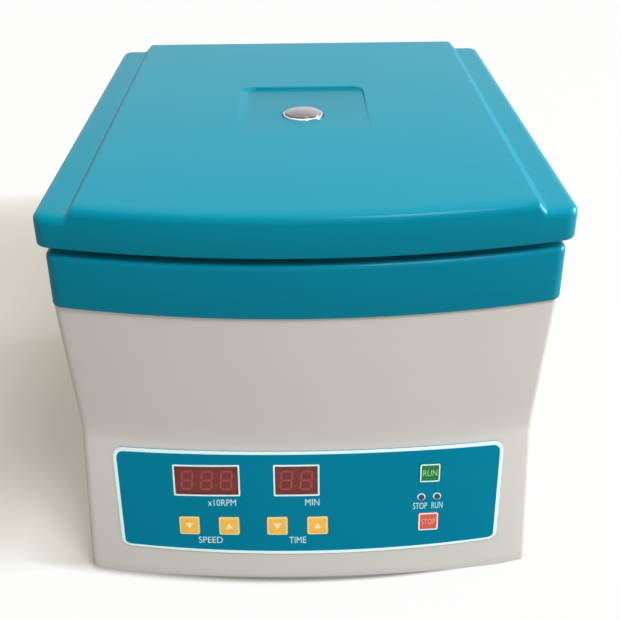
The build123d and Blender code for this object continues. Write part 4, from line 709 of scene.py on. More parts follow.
@dataclass(frozen=True)
class LidShell:
    """Hollow lid with a raised middle, a ramp and the hole of the sight glass."""

    bottom: float = LID_LOW.z
    top: float = LID_HIGH.z
    plateau_rise: float = 6.0
    plateau: float = 128.0
    slope: float = 5.0
    fall: float = 2.0
    edge: float = 5.5
    wall: float = 3.5
    ramp_half: float = 45.0
    ramp_front: float = -50.0
    ramp_back: float = 53.0
    ramp_depth: float = 2.0
    ramp_corner: float = 10.0
    ramp_wall: float = 0.9
    ramp_side: float = 5.0
    hole: float = 14.4
    block: float = 19.0
    relief: float = 0.06
    calm: tuple[float, float] = (-60.0, 120.0)

    def height(self, plan: np.ndarray) -> np.ndarray:
        """Height of the top: rails, slopes, raised middle, less the ramp inside its rounded border.

        The whole top falls slightly from the back to the front. The ramp's border is crisp at the back and
        on the right, and wide on the left: it widens with the share of the way to the border that goes left.
        """
        x, y = np.abs(plan[..., 0]), plan[..., 1]
        rise = soft_step((self.plateau + self.slope - x) / self.slope)
        forward = (CASING.half_depth - y) / (2 * CASING.half_depth)
        z = self.top - self.plateau_rise * (1 - rise) - self.fall * forward
        side = x - (self.ramp_half - self.ramp_corner)
        back = y - (self.ramp_back - self.ramp_corner)
        outside = np.hypot(np.maximum(side, 0), np.maximum(back, 0)) + np.minimum(np.maximum(side, back), 0)
        inside = self.ramp_corner - outside
        leftward = np.maximum(side, 0) / np.maximum(np.hypot(np.maximum(side, 0), np.maximum(back, 0)), 0.001)
        wall = self.ramp_wall + (self.ramp_side - self.ramp_wall) * leftward * (plan[..., 0] < 0)
        fall = np.clip((y - self.ramp_front) / (self.ramp_back - self.ramp_front), 0, None)
        return z - self.ramp_depth * fall * soft_step(inside / wall, 0.15)

    def lattice(self) -> Lattice:
        """Grid lines, close together along the slopes, the ramp's border and the hole."""
        reach = CASING.half_width - CASING.corner
        half, back = self.ramp_half, self.ramp_back
        middle = CASING.axis_y
        side = CASING.half_depth - CASING.corner
        right = lines(
            0, (self.block, 1.6), (half - 11.5, 2.8), (half - 1.5, 0.7), (half + 1.0, 0.22),
            (self.plateau - 1.5, 5.5), (self.plateau + self.slope + 1.5, 0.35), (reach, 1.8),
        )
        rows = lines(
            -side, (self.calm[0], 4.0), (middle - self.block, 3.0), (middle + self.block, 1.6),
            (back - 12.0, 2.6), (back - 2.0, 0.7), (back + 1.0, 0.22), (self.calm[1], 5.0), (side, 4.0),
        )
        return Lattice(np.concatenate([-right, right]), rows, self.calm)

    def build(self) -> bpy.types.Object:
        """Top grid, ceiling grid, one chain of loops round the outside and one through the hole."""
        lattice = self.lattice()
        skin = Skin()

        def level(inset: float, loop: bool) -> np.ndarray:
            """Grid or loop set in from the lid's outline, a little further in at the bowed front."""
            corner = CASING.corner - min(inset, CASING.corner - 0.5)
            return CASING.plan(lattice, (inset, inset + self.relief, inset), corner, loop)

        plan = level(self.edge, False)
        middle = CASING.axis_y
        block = lattice.block(self.block, middle, self.block)
        keep = cells_without(plan, block)
        top = skin.add(with_height(plan, self.height(plan)))
        ceiling = skin.add(with_height(plan, self.height(plan) - self.wall))
        skin.sheet(top, keep)
        skin.sheet(ceiling, keep, flip=True)

        chain = [rim(ceiling)]
        for inset, drop in ((self.wall, 1.0), (self.wall, 4.0)):
            loop = level(inset, True)
            chain.append(skin.add(with_height(loop, self.height(loop) - self.wall - drop)))
        for inset, z in ((self.wall, self.bottom + 0.5), (self.wall - 0.5, self.bottom), (0.7, self.bottom),
                         (0.2, self.bottom + 0.2), (0.0, self.bottom + 0.7)):
            chain.append(skin.add(with_height(level(inset, True), z)))
        for angle in np.radians(np.linspace(0, 90, 8)[:-1]):
            inset = self.edge * (1 - math.sin(angle))
            loop = level(self.edge - self.edge * math.cos(angle), True)
            chain.append(skin.add(with_height(loop, self.height(loop) - inset)))
        chain.append(rim(top))
        skin.bands(chain)

        border = rim(plan[block])
        hole = [rim(top[block])]
        for share in (0.4, 0.75):
            loop = circle_towards(border, (0, middle), self.hole + 0.6, share)
            hole.append(skin.add(with_height(loop, self.height(loop))))
        for radius, drop in ((0.6, 0.0), (0.2, 0.15), (0.0, 0.6), (0.0, self.wall)):
            loop = circle_towards(border, (0, middle), self.hole + radius, 1.0)
            hole.append(skin.add(with_height(loop, self.height(loop) - drop)))
        hole.append(rim(ceiling[block]))
        skin.bands(hole)
        return show(skin.build("lid_skin", 50.0), TEAL_LID_RAMP_SHADE, "lid", "lid_shell", "lid_shell")


def turned(
    name: str,
    profile: Sequence[tuple[float, float]],
    middle: tuple[float, float],
) -> bpy.types.Object:
    """Surface turned about an upright axis.

    Args:
        name: Name of the object.
        profile: Radius and height of each step, up its outside. A ring ends where it starts, and a dome
            ends on the axis with a radius near nought.
        middle: Place of the axis.

    Returns:
        The object.
    """
    steps = np.array(profile)
    angle = np.linspace(0, 2 * math.pi, ROUND_STEPS, endpoint=False)
    circle = np.stack([np.cos(angle), np.sin(angle)], -1)
    plan = circle[None] * steps[:, None, :1] + np.array(middle)
    skin = Skin()
    numbers = skin.add(with_height(plan, steps[:, 1:2]))
    skin.bands(list(numbers))
    return skin.build(name, 50.0)


@dataclass(frozen=True)
class SightGlass:
    """Bright ring and low dome of the sight glass, set into the ramp."""

    ring: float = 13.8
    wall: float = 1.3
    deep: float = 8.0
    sunk: float = 0.9
    round_over: float = 0.5
    rise: float = 1.3
    crown: float = 275.2

    def build(self) -> None:
        """Ring and lens."""
        low, high = box_mm("sight_bezel")
        middle = ((low.x + high.x) / 2, (low.y + high.y) / 2)
        top = high.z - self.sunk
        inside = self.ring - self.wall
        soft = self.round_over
        ring = [(inside, top - self.deep), (self.ring, top - self.deep), (self.ring, top - soft),
                (self.ring - 0.3 * soft, top - 0.3 * soft), (self.ring - soft, top), (inside + 0.2, top),
                (inside, top - 0.2), (inside, top - self.deep)]
        show(turned("sight_ring", ring, middle), POLISHED, "lid", "sight_bezel", "sight_bezel")
        base, shoulder = top - self.deep + 1.0, self.crown - self.rise - 0.5
        radius = inside - 0.1
        flat = radius - 0.6
        lens = [(0.05, base), (radius, base), (radius, top + 0.2)]
        lens += [(radius - 0.15, shoulder - 0.5), (flat, shoulder)]
        for t in np.linspace(0, 1, 14)[1:]:
            lens.append((max(flat * (1 - t), 0.05), shoulder + (self.crown - shoulder) * (1 - (1 - t) ** 2)))
        show(turned("sight_dome", lens, middle), SIGHT_GLASS, "lid", "sight_lens", "sight_lens")


@dataclass(frozen=True)
class CollarShell:
    """Upper casing: rounded wall, deck with the chamber's mouth, and the tongue inside the housing."""

    bottom: float = HOUSING_HIGH.z
    top: float = COLLAR_HIGH.z
    side: float = LID_HIGH.x - COLLAR_HIGH.x
    front: float = 2.2
    rear: float = LID_HIGH.y - COLLAR_HIGH.y
    edge: float = 4.5
    wall: float = 3.5
    deck: float = 4.0
    corner: float = 7.0
    mouth: float = 129.0
    block: float = 134.0
    tongue_depth: float = 6.0
    tongue_out: float = 5.8
    tongue_in: float = 7.8
    slot_x: float = 4.5
    slot_y: float = 10.0
    slot_middle: float = -161.0

    def build(self) -> bpy.types.Object:
        """Deck grids with a round mouth and a small slot, and one chain of loops round the wall."""
        shift = (self.front - self.rear) / 2
        reach = CASING.half_width - self.side - self.corner
        side = CASING.half_depth - (self.front + self.rear) / 2 - self.corner
        middle = CASING.axis_y - shift
        right = lines(0, (self.slot_x, 2.3), (self.block, 6.0), (reach, 3.0))
        slot = self.slot_middle - shift
        rows = lines(-side, (slot - self.slot_y, 3.0), (slot + self.slot_y, 4.0), (middle - self.block, 3.0),
                     (middle + self.block, 5.0), (side, 5.0))
        calm = (slot - self.slot_y, middle + self.block)
        lattice = Lattice(np.concatenate([-right, right]), rows, calm, bow_end=middle - self.block)
        skin = Skin()

        def level(inset: float, loop: bool) -> np.ndarray:
            """Grid or loop set in from the collar's outline."""
            corner = max(self.corner - inset, 0.5)
            insets = [own + inset for own in (self.side, self.front, self.rear)]
            return CASING.plan(lattice, insets, corner, loop)

        plan = level(self.edge, False)
        block = lattice.block(self.block, middle, self.block)
        slot_block = lattice.block(self.slot_x, slot, self.slot_y)
        keep = cells_without(plan, block, slot_block)
        deck = skin.add(with_height(plan, self.top))
        under = skin.add(with_height(plan, self.top - self.deck))
        skin.sheet(deck, keep)
        skin.sheet(under, keep, flip=True)

        chain = [rim(under)]
        inner = ((self.wall, self.top - self.deck - 1.0), (self.wall, self.bottom + 2.0),
                 (self.tongue_in, self.bottom + 1.0), (self.tongue_in, self.bottom - self.tongue_depth),
                 (self.tongue_out, self.bottom - self.tongue_depth), (self.tongue_out, self.bottom),
                 (0.5, self.bottom), (0.1, self.bottom + 0.15), (0.0, self.bottom + 0.6))
        for inset, z in inner:
            chain.append(skin.add(with_height(level(inset, True), z)))
        for angle in np.radians(np.linspace(0, 90, 8)[:-1]):
            z = self.top - self.edge * (1 - math.sin(angle))
            chain.append(skin.add(with_height(level(self.edge * (1 - math.cos(angle)), True), z)))
        chain.append(rim(deck))
        skin.bands(chain)

        border = rim(plan[block])
        mouth = [rim(deck[block])]
        lips = ((0.8, self.top), (0.2, self.top - 0.2), (0.0, self.top - 0.8), (0.0, self.top - self.deck))
        for radius, z in lips:
            loop = circle_towards(border, (0, CASING.axis_y), self.mouth + radius, 1.0)
            mouth.append(skin.add(with_height(loop, z)))
        mouth.append(rim(under[block]))
        skin.bands(mouth)
        skin.bands([rim(deck[slot_block]), rim(under[slot_block])])
        return show(skin.build("collar_skin", 50.0), SHADED_TEAL_SHELL, "chassis", "upper_collar", "upper_collar")


@dataclass(frozen=True)
class HousingShell:
    """Lower casing: waisted walls with a bowed front, cut out for the panel, the inlet and the switch."""

    bottom: float = HOUSING_LOW.z
    top: float = HOUSING_HIGH.z
    waist: float = 112.0
    side_insets: tuple[float, float, float] = (5.0, 8.0, 4.8)
    front_insets: tuple[float, float, float] = (5.7, 16.0, 3.5)
    rear: float = HOUSING_HIGH.y
    corner: float = 7.0
    wall: float = 3.5
    soft_below: float = 5.0
    soft_above: float = 15.0
    lip: float = 0.8
    arch_rise: float = 5.0
    arch_half: float = 126.5
    arch_fade: float = 27.0
    front_reach: float = 120.0
    rear_reach: float = 125.0
    lap: float = 1.9

    def inset(self, z: np.ndarray, insets: tuple[float, float, float]) -> np.ndarray:
        """Inset at a height: two straight runs, blended round the waist by a parabola that touches both.

        The parabola is P0 (1 - t)2 + 2 P1 t (1 - t) + P2 t2, and height - waist = above t2 - below (1 - t)2.

        Args:
            z: Heights.
            insets: Insets at the base, the waist and the top.

        Returns:
            The inset at each height.
        """
        base, waist, top = insets
        low_run = base + (waist - base) * (z - self.bottom) / (self.waist - self.bottom)
        high_run = waist + (top - waist) * (z - self.waist) / (self.top - self.waist)
        below, above = self.soft_below, self.soft_above
        past = np.clip(z - self.waist, -below, above)
        t = (np.sqrt(below**2 + (above - below) * (below + past)) - below) / (above - below)
        start = waist - (waist - base) * below / (self.waist - self.bottom)
        end = waist + (top - waist) * above / (self.top - self.waist)
        curve = start * (1 - t) ** 2 + 2 * waist * t * (1 - t) + end * t**2
        return np.where(z < self.waist - below, low_run, np.where(z > self.waist + above, high_run, curve))

    def half_loop(self, z: np.ndarray, inward: float, front: np.ndarray, rear: np.ndarray) -> np.ndarray:
        """Right half of the outline at each height, from the middle of the front to the middle of the back.

        Args:
            z: Heights.
            inward: Distance inside the outer face.
            front: Distances along the front that keep their place at every height.
            rear: Distances along the back that do.

        Returns:
            Heights by points by x, y and z. The front lies on x = R sin(a / R), y = bow centre -
            R cos(a / R). Its lower edge is lifted by rise (1 - (a / half)2), which fades out with height.
        """
        z = z[:, None]
        hang = np.clip(self.lip - (z - self.bottom), 0, self.lip)
        rounding = self.lip - np.sqrt(self.lip**2 - hang**2)
        radius = CASING.bow - self.inset(z, self.front_insets) - rounding
        half = CASING.half_width - self.inset(z, self.side_insets) - rounding
        centre = CASING.bow - CASING.half_depth
        core = half - self.corner
        lean = np.arcsin(core / (radius - self.corner))
        corner = self.corner - inward
        corner_y = centre - (radius - self.corner) * np.cos(lean)
        rest = np.linspace(0, 1, 7)[None, 1:]
        along = np.concatenate([front + 0 * z, front[-1] + rest * (radius * lean - front[-1])], 1)
        lift = self.arch_rise * np.clip(1 - (along / self.arch_half) ** 2, 0, None)
        height = z + lift * np.clip((self.arch_fade - z) / (self.arch_fade - self.bottom), 0, 1)
        radius = CASING.bow - self.inset(height, self.front_insets) - rounding
        level = radius - inward
        bow = [level * np.sin(along / radius), centre - level * np.cos(along / radius), height]
        turn = lean + (math.pi / 2 - lean) * np.linspace(0, 1, 10)[None, 1:]
        near = [core + corner * np.sin(turn), corner_y - corner * np.cos(turn), z + 0 * turn]
        run = np.linspace(0, 1, 30)[None, 1:]
        back = self.rear - self.corner
        side = [half - inward + 0 * run, corner_y + run * (back - corner_y), z + 0 * run]
        turn = np.radians(np.linspace(0, 90, 10))[None, 1:] + 0 * z
        far = [core + corner * np.cos(turn), back + corner * np.sin(turn), z + 0 * turn]
        last = np.concatenate([core + rest * (rear[-1] - core), rear[-2::-1] + 0 * z], 1)
        wall = [last, self.rear - inward + 0 * last, z + 0 * last]
        return np.concatenate([np.stack(piece, -1) for piece in (bow, near, side, far, wall)], 1)

    def build(self, front_openings: Sequence[tuple[float, float, float, float]]) -> bpy.types.Object:
        """Outer and inner wall as two closed grids, joined round the rims and the openings.

        Args:
            front_openings: Lowest and highest place along the bow and in height of each opening of the front.

        Returns:
            The shell.
        """
        rear_openings = []
        for node in ("power_inlet", "switch_bezel"):
            low, high = box_mm(node)
            rear_openings.append((low.x + self.lap, high.x - self.lap, low.z + self.lap, high.z - self.lap))
        front = np.unique(np.abs([0, self.front_reach] + [a for o in front_openings for a in o[:2]]))
        front = np.unique(np.concatenate([front, lines(0, (self.front_reach, 5.0))]).round(3))
        rear = [abs(x) for o in rear_openings for x in o[:2]]
        rear = np.unique(np.concatenate([rear, lines(0, (self.rear_reach, 8.0))]))
        edges = [z for o in (*front_openings, *rear_openings) for z in o[2:]]
        rounding = self.bottom + self.lip * (1 - np.cos(np.radians(np.linspace(0, 90, 5))))
        blend = np.linspace(self.waist - self.soft_below, self.waist + self.soft_above, 13)
        plain = lines(self.bottom + self.lip, (self.top, 6.0))
        z = np.unique(np.concatenate([edges, rounding, blend, plain]).round(3))

        skin = Skin()
        grids = []
        for inward in (0.0, self.wall):
            half = self.half_loop(z, inward, front, rear)
            grids.append(skin.add(np.concatenate([half, half[:, -2:0:-1] * np.array([-1, 1, 1])], 1)))
        count = half.shape[1]
        far = np.full(count, np.inf)
        marks = []
        for places, own in ((front, slice(0, len(front))), (rear[::-1], slice(count - len(rear), count))):
            mark = far.copy()
            mark[own] = places
            mark = np.concatenate([mark, -mark[-2:0:-1]])
            marks.append((mark + np.roll(mark, -1)) / 2)
        height = (z[:-1, None] + z[1:, None]) / 2
        keep = np.ones((len(z) - 1, len(marks[0])), bool)
        for mark, openings in zip(marks, (front_openings, rear_openings)):
            for low, high, floor, ceiling in openings:
                keep &= ~((mark > low) & (mark < high) & (height > floor) & (height < ceiling))
        outer, inner = (np.concatenate([grid, grid[:, :1]], 1) for grid in grids)
        skin.sheet(outer, keep)
        skin.sheet(inner, keep, flip=True)
        skin.walls(outer, inner, keep, round_about=True)
        return show(skin.build("housing_skin", 50.0), GREY_SHELL, "chassis", "lower_housing", "lower_housing")


# ------------------------------------------------------------------ CAD nodes that keep their own shape
DRESS: dict[Finish, str] = {
    ZINC: "base_plate base_fasteners collar_screws lid_screws hinge_pins hinge_brackets lock_solenoid",
    BLACK_RUBBER: "rubber_feet rubber_mounts chamber_gasket spindle_boot",
    BRUSHED_STEEL: "chamber_wall chamber_flange chamber_floor lid_striker hinge_leaves motor_mount_plate",
    TURNED_STEEL: "motor_shaft shaft_bearings pivot_pins lock_bolt",
    CAST_ALUMINIUM: "motor_barrel motor_caps",
    LAMINATIONS: "motor_stator motor_core",
    ANODISED: "rotor_yoke rotor_nut plate_carrier_front plate_carrier_rear",
    BLACK_PLASTIC: "cooling_fan speed_sensor power_inlet fuse_drawer switch_bezel power_rocker",
    LINER_PLASTIC: "lid_liner sight_tube",
    MODULE_FACE: "speed_digits time_digits",
    BOARD: "display_boards power_board control_board",
    NYLON: "board_standoffs",
    SILICONE: "keypad_membrane",
    LAMP_LENS: "status_lamps",
    LACQUERED_STEEL: "transformer",
}


def dress_nodes() -> None:
    """Give every CAD node that stays its finish."""
    for finish, names in DRESS.items():
        for name in names.split():
            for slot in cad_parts[name].material_slots:
                slot.material = WARDROBE.take(finish)
            log.info("node %s in %s", name, finish.name)


# ------------------------------------------------------------------ front panel
@dataclass(frozen=True)
class PanelFace:
    """Bowed, leaning front that the panel lies on, and places on it.

    A place is across along the bow, a row that curves down to both sides, and a distance out of the face.
    """

    base_inset: float = 5.7
    waist_inset: float = 16.0
    base_z: float = 5.0
    waist_z: float = 112.0
    row_radius: float = 1160.0
    film_top: float = 0.65

    @property
    def lean(self) -> float:
        """Angle by which the face leans back."""
        return math.atan2(self.waist_inset - self.base_inset, self.waist_z - self.base_z)

    def point(self, across: np.ndarray, z: np.ndarray, out: np.ndarray) -> np.ndarray:
        """Points on the cone of radius R(z) = bow - inset(z), moved out along its normal."""
        share = (z - self.base_z) / (self.waist_z - self.base_z)
        radius = CASING.bow - self.base_inset - (self.waist_inset - self.base_inset) * share
        turn = across / radius
        centre = CASING.bow - CASING.half_depth
        level = radius + out * math.cos(self.lean)
        height = z + out * math.sin(self.lean)
        return np.stack([level * np.sin(turn), centre - level * np.cos(turn), height + 0 * turn], -1)

    def at(self, across: float, row: float, out: float = 0.0) -> Place:
        """Function that carries flat x, y, z shapes to a place on the panel, upright and level with its row.

        Args:
            across: Distance along the bow from the middle.
            row: Height of the row in the middle.
            out: Distance out of the face.

        Returns:
            The function.
        """

        def carry(local: np.ndarray) -> np.ndarray:
            """Carry flat points: the row falls by a2 / 2R, so it slopes by a / R."""
            fall = across**2 / (2 * self.row_radius) + local[..., 0] * across / self.row_radius
            return self.point(across + local[..., 0], row + local[..., 1] - fall, out + local[..., 2])

        return carry


FACE = PanelFace()


@dataclass(frozen=True)
class Pad:
    """Flat rounded block with softened top edges, for keys and window panes."""

    width: float
    height: float
    corner: float
    bottom: float
    top: float
    edge: float = 0.3
    step: float = 3.0

    def build(self, name: str, carry: Place) -> bpy.types.Object:
        """Top and bottom grids joined by loops, carried to their place."""
        half_w, half_h = self.width / 2, self.height / 2
        reach, side = half_w - self.corner, half_h - self.corner
        columns, rows = (lines(-far, (far, self.step)) for far in (reach, side))
        lattice = Lattice(columns, rows, (-0.01, 0.01), 4)
        skin = Skin()

        def level(inset: float, z: float, loop: bool) -> np.ndarray:
            """Grid or loop of the pad at a height, carried to its place."""
            corner = max(self.corner - inset, 0.05)
            flat = lattice.loop if loop else lattice.grid
            return carry(with_height(flat(half_w - inset, half_h - inset, corner), z))

        top = skin.add(level(self.edge, self.top, False))
        bottom = skin.add(level(0.0, self.bottom, False))
        skin.sheet(top)
        skin.sheet(bottom, flip=True)
        chain = [rim(bottom)]
        for angle in np.radians((0, 30, 60)):
            inset, drop = self.edge * (1 - math.cos(angle)), self.edge * (1 - math.sin(angle))
            chain.append(skin.add(level(inset, self.top - drop, True)))
        skin.bands(chain + [rim(top)])
        return skin.build(name)


@dataclass(frozen=True)
class Band:
    """Thin printed band along a rounded rectangle or, with a full corner, a ring."""

    width: float
    height: float
    corner: float
    breadth: float
    bottom: float
    top: float
    steps: int = 6

    def build(self, name: str, carry: Place) -> bpy.types.Object:
        """Four loops, outer and inner at both heights, joined all round."""
        reach, side = self.width / 2 - self.corner, self.height / 2 - self.corner
        reach, side = max(reach, 0.001), max(side, 0.001)
        columns, rows = np.linspace(-reach, reach, 9), np.linspace(-side, side, 5)
        lattice = Lattice(columns, rows, (-0.0001, 0.0001), self.steps)
        skin = Skin()

        def level(inset: float, z: float) -> np.ndarray:
            """Point numbers of a loop of the band."""
            corner = max(self.corner - inset, 0.05)
            loop = lattice.loop(self.width / 2 - inset, self.height / 2 - inset, corner)
            return skin.add(carry(with_height(loop, z)))

        skin.frame(level, self.breadth, self.bottom, self.top)
        return skin.build(name)


def prism(name: str, outlines: np.ndarray, bottom: float, top: float, carry: Place) -> bpy.types.Object:
    """Flat closed shapes of equal point count, each drawn up between two heights.

    Args:
        name: Name of the object.
        outlines: Shapes by points by x and y, anticlockwise.
        bottom: Lower height.
        top: Upper height.
        carry: Takes the points to their place.

    Returns:
        The object.
    """
    shapes, count = outlines.shape[:2]
    points = np.stack([with_height(outlines, bottom), with_height(outlines, top)], 1)
    numbers = np.arange(shapes * 2 * count).reshape(shapes, 2, count)
    low, high = numbers[:, 0], numbers[:, 1]
    sides = np.stack([low, np.roll(low, -1, 1), np.roll(high, -1, 1), high], -1).reshape(-1, 4)
    faces = high.tolist() + low[:, ::-1].tolist() + sides.tolist()
    return mesh_object(name, carry(points.reshape(-1, 3)) * MM, faces, 30.0)


def lettering(
    name: str,
    text: str,
    width: float,
    height: float,
    bottom: float,
    top: float,
    carry: Place,
) -> bpy.types.Object:
    """Raised letters fitted into a width and a height about their middle.

    Args:
        name: Name of the object.
        text: What it says.
        width: Width of the word.
        height: Height of its capitals.
        bottom: Lower height of the ink.
        top: Upper height of the ink.
        carry: Takes the points to their place.

    Returns:
        The object.
    """
    curve = bpy.data.curves.new(name, "FONT")
    curve.body = text
    curve.extrude = 0.5
    curve.offset = LETTER_OFFSET
    curve.resolution_u = 4
    holder = put(name + "_draft", curve)
    bpy.context.view_layer.update()
    mesh = bpy.data.meshes.new_from_object(holder.evaluated_get(bpy.context.evaluated_depsgraph_get()))
    bpy.data.objects.remove(holder)
    points = np.empty(len(mesh.vertices) * 3)
    mesh.vertices.foreach_get("co", points)
    points = points.reshape(-1, 3)
    low, high = points.min(0), points.max(0)
    share = (points - (low + high) / 2) / (high - low)
    thick = (top - bottom) / 2
    flat = share * np.array([width, height, 2 * thick]) + np.array([0, 0, bottom + thick])
    mesh.vertices.foreach_set("co", (carry(flat) * MM).ravel())
    mesh.update()
    return put(name, mesh)


class Glyph(Enum):
    """What a key shows."""

    DOWN = -1
    UP = 1
    WORD = 0


@dataclass(frozen=True)
class Key:
    """One membrane key with its printed outline and sign."""

    name: str
    across: float
    row: float
    finish: Finish
    glyph: Glyph
    word: str = ""
    sign: Finish = PALE_INK
    side: float = 13.5
    corner: float = 1.2
    sunk: float = 1.2
    proud: float = 0.9
    ink: float = 0.04
    outline: float = 0.8
    word_width: float = 9.2
    word_height: float = 4.3

    def build(self) -> None:
        """Pad, outline band and sign, all on the key's own body."""
        carry = FACE.at(self.across, self.row)
        pad = Pad(self.side, self.side, self.corner, -self.sunk, self.proud).build(self.name + "_pad", carry)
        show(pad, self.finish, self.name, self.name, self.name)
        low, top = self.proud - 0.1, self.proud + self.ink
        outline = Band(self.side - 0.5, self.side - 0.5, 1.0, self.outline, low, top)
        ink = WHITE_INK if self.word else LIME_INK
        show(outline.build(self.name + "_outline", carry), ink, self.name, self.name)
        if self.glyph is Glyph.WORD:
            size = (self.word_width, self.word_height)
            sign = lettering(self.name + "_word", self.word, *size, low, top, carry)
        else:
            flip = self.glyph.value
            triangle = np.array([[(-2.5, -2.1 * flip), (2.5, -2.1 * flip), (0.0, 2.3 * flip)]])
            sign = prism(self.name + "_arrow", triangle[:, ::flip], low, top, carry)
        show(sign, self.sign, self.name, self.name)


@dataclass(frozen=True)
class Display:
    """Tinted window with its printed frame and the unlit digits behind it."""

    name: str
    across: float
    width: float
    digits: int
    row: float = 85.0
    height: float = 22.8
    proud: float = 0.85
    pitch: float = 12.7
    digit_width: float = 8.2
    digit_height: float = 14.2
    drop: float = 0.6
    bar: float = 1.35
    gap: float = 0.25
    slant: float = 0.09
    lit_low: float = -0.5
    lit_high: float = -0.42

    def segments(self) -> np.ndarray:
        """Six-sided bars: three level ones and four upright ones for each digit, leaning by the slant."""
        bar = self.bar / 2
        half_w, half_h = self.digit_width / 2 - bar, self.digit_height / 2 - bar

        def pointed(half: float) -> np.ndarray:
            """Upright bar with pointed ends, by half its length."""
            shaft = half - bar
            right = [(0, -half), (bar, -shaft), (bar, shaft)]
            return np.array(right + [(-x, -y) for x, y in right])

        level = pointed(half_w - self.gap)[:, ::-1] * np.array([1, -1])
        upright = pointed(half_h / 2 - self.gap)
        level_at = np.array([(0, half_h), (0, 0), (0, -half_h)])
        upright_at = np.array([(x * half_w, y * half_h / 2) for x in (-1, 1) for y in (-1, 1)])
        digit = np.concatenate([level[None] + level_at[:, None], upright[None] + upright_at[:, None]])
        places = (np.arange(self.digits) - (self.digits - 1) / 2) * self.pitch
        bars = digit[None] + np.stack([places, 0 * places - self.drop], -1)[:, None, None]
        bars = bars.reshape(-1, 6, 2)
        return np.stack([bars[..., 0] + self.slant * bars[..., 1], bars[..., 1]], -1)

    def build(self) -> None:
        """Pane, frame and digits."""
        carry = FACE.at(self.across, self.row)
        window = self.name + "_window"
        pane = Pad(self.width, self.height, 0.6, 0.05, self.proud, 0.15, 2.0).build(window + "_pane", carry)
        show(pane, DISPLAY_FILTER, "chassis", window, window)
        border = Band(self.width, self.height, 0.6, 1.0, self.proud - 0.3, self.proud + 0.05)
        show(border.build(window + "_frame", carry), WHITE_INK, "chassis", window)
        bars = prism(self.name + "_segments", self.segments(), self.lit_low, self.lit_high, carry)
        show(bars, SEGMENT_INK, "chassis", self.name + "_digits")


@dataclass(frozen=True)
class Overlay:
    """Printed film with openings for keys, windows and lamps, and its white border."""

    half_width: float = 124.3
    wider_top: float = 2.0
    wider_bottom: float = 0.8
    plain_from: float = 100.0
    top: float = 106.0
    bottom: float = 29.3
    top_fall: float = 3.9
    bottom_fall: float = 1.7
    corner: float = 6.5
    border: float = 2.2
    film: float = 0.05
    thickness: float = 0.6

    def carry(self, flat: np.ndarray) -> np.ndarray:
        """Flat panel to the face.

        Rows fall by k a2, where k changes from the bottom edge through the rows to the top. The sides lean
        outwards to the top, beyond the part that carries keys.
        """
        across, row, out = flat[..., 0], flat[..., 1], flat[..., 2]
        rows = (self.bottom, 43.0, 98.0, self.top)
        middle = 1 / (2 * FACE.row_radius)
        falls = (self.bottom_fall / self.half_width**2, middle, middle, self.top_fall / self.half_width**2)
        fall = np.interp(row, rows, falls)
        wider = np.interp(row, (self.bottom, self.top), (self.wider_bottom, self.wider_top))
        share = np.clip((np.abs(across) - self.plain_from) / (self.half_width - self.plain_from), 0, 1)
        return FACE.point(across + np.sign(across) * wider * share, row - fall * across**2, out)

    def build(self, openings: Sequence[tuple[float, float, float, float]]) -> None:
        """Slab with its openings left out of the grid, and the border on top.

        Args:
            openings: Middle across, middle row, half width and half height of each.
        """
        half_height = (self.top - self.bottom) / 2
        middle = (self.top + self.bottom) / 2
        reach = self.half_width - self.corner
        side = half_height - self.corner
        columns = [a + s * w for a, _, w, _ in openings for s in (-1, 1)]
        rows = [r - middle + s * h for _, r, _, h in openings for s in (-1, 1)]
        lattice = Lattice(
            np.concatenate([lines(-reach, (reach, 4.0)), columns]),
            np.concatenate([lines(-side, (side, 4.0)), rows]),
            (min(rows), max(rows)),
            6,
        )
        plan = lattice.grid(self.half_width, half_height, self.corner)
        plan = plan + np.array([0, middle])
        centre = (plan[:-1, :-1] + plan[1:, 1:]) / 2
        keep = np.ones(centre.shape[:2], bool)
        for across, row, half_w, half_h in openings:
            keep &= (np.abs(centre[..., 0] - across) > half_w) | (np.abs(centre[..., 1] - row) > half_h)
        skin = Skin()
        top = skin.add(self.carry(with_height(plan, self.film + self.thickness)))
        bottom = skin.add(self.carry(with_height(plan, self.film)))
        skin.sheet(top, keep)
        skin.sheet(bottom, keep, flip=True)
        skin.walls(top, bottom, keep)
        show(skin.build("overlay_film"), TEAL_FILM, "chassis", "panel_overlay", "panel_overlay")

        skin = Skin()
        high = self.film + self.thickness

        def level(inset: float, z: float) -> np.ndarray:
            """Point numbers of a loop of the border."""
            loop = lattice.loop(self.half_width - inset, half_height - inset, self.corner - inset)
            return skin.add(self.carry(with_height(loop + np.array([0, middle]), z)))

        skin.frame(level, self.border, high - 0.1, high + 0.05)
        show(skin.build("overlay_border"), WHITE_INK, "chassis", "panel_overlay")


@dataclass(frozen=True)
class Word:
    """One printed word on the overlay."""

    name: str
    text: str
    across: float
    row: float
    width: float
    height: float = 4.9

    def build(self) -> None:
        """Letters just above the film."""
        carry = FACE.at(self.across, self.row)
        top = FACE.film_top + 0.04
        piece = lettering(self.name, self.text, self.width, self.height, FACE.film_top - 0.1, top, carry)
        show(piece, WORD_INK, "chassis", "panel_overlay")


@dataclass(frozen=True)
class Lamp:
    """Printed ring round a status lamp."""

    name: str
    across: float
    row: float = 70.0
    radius: float = 1.9
    ring: float = 2.65
    breadth: float = 1.2
    low: float = 0.6
    high: float = 0.72

    def build(self) -> None:
        """Ring on the film."""
        carry = FACE.at(self.across, self.row)
        ring = Band(2 * self.ring, 2 * self.ring, self.ring, self.breadth, self.low, self.high, 8)
        show(ring.build(self.name, carry), WHITE_INK, "chassis", "panel_overlay")


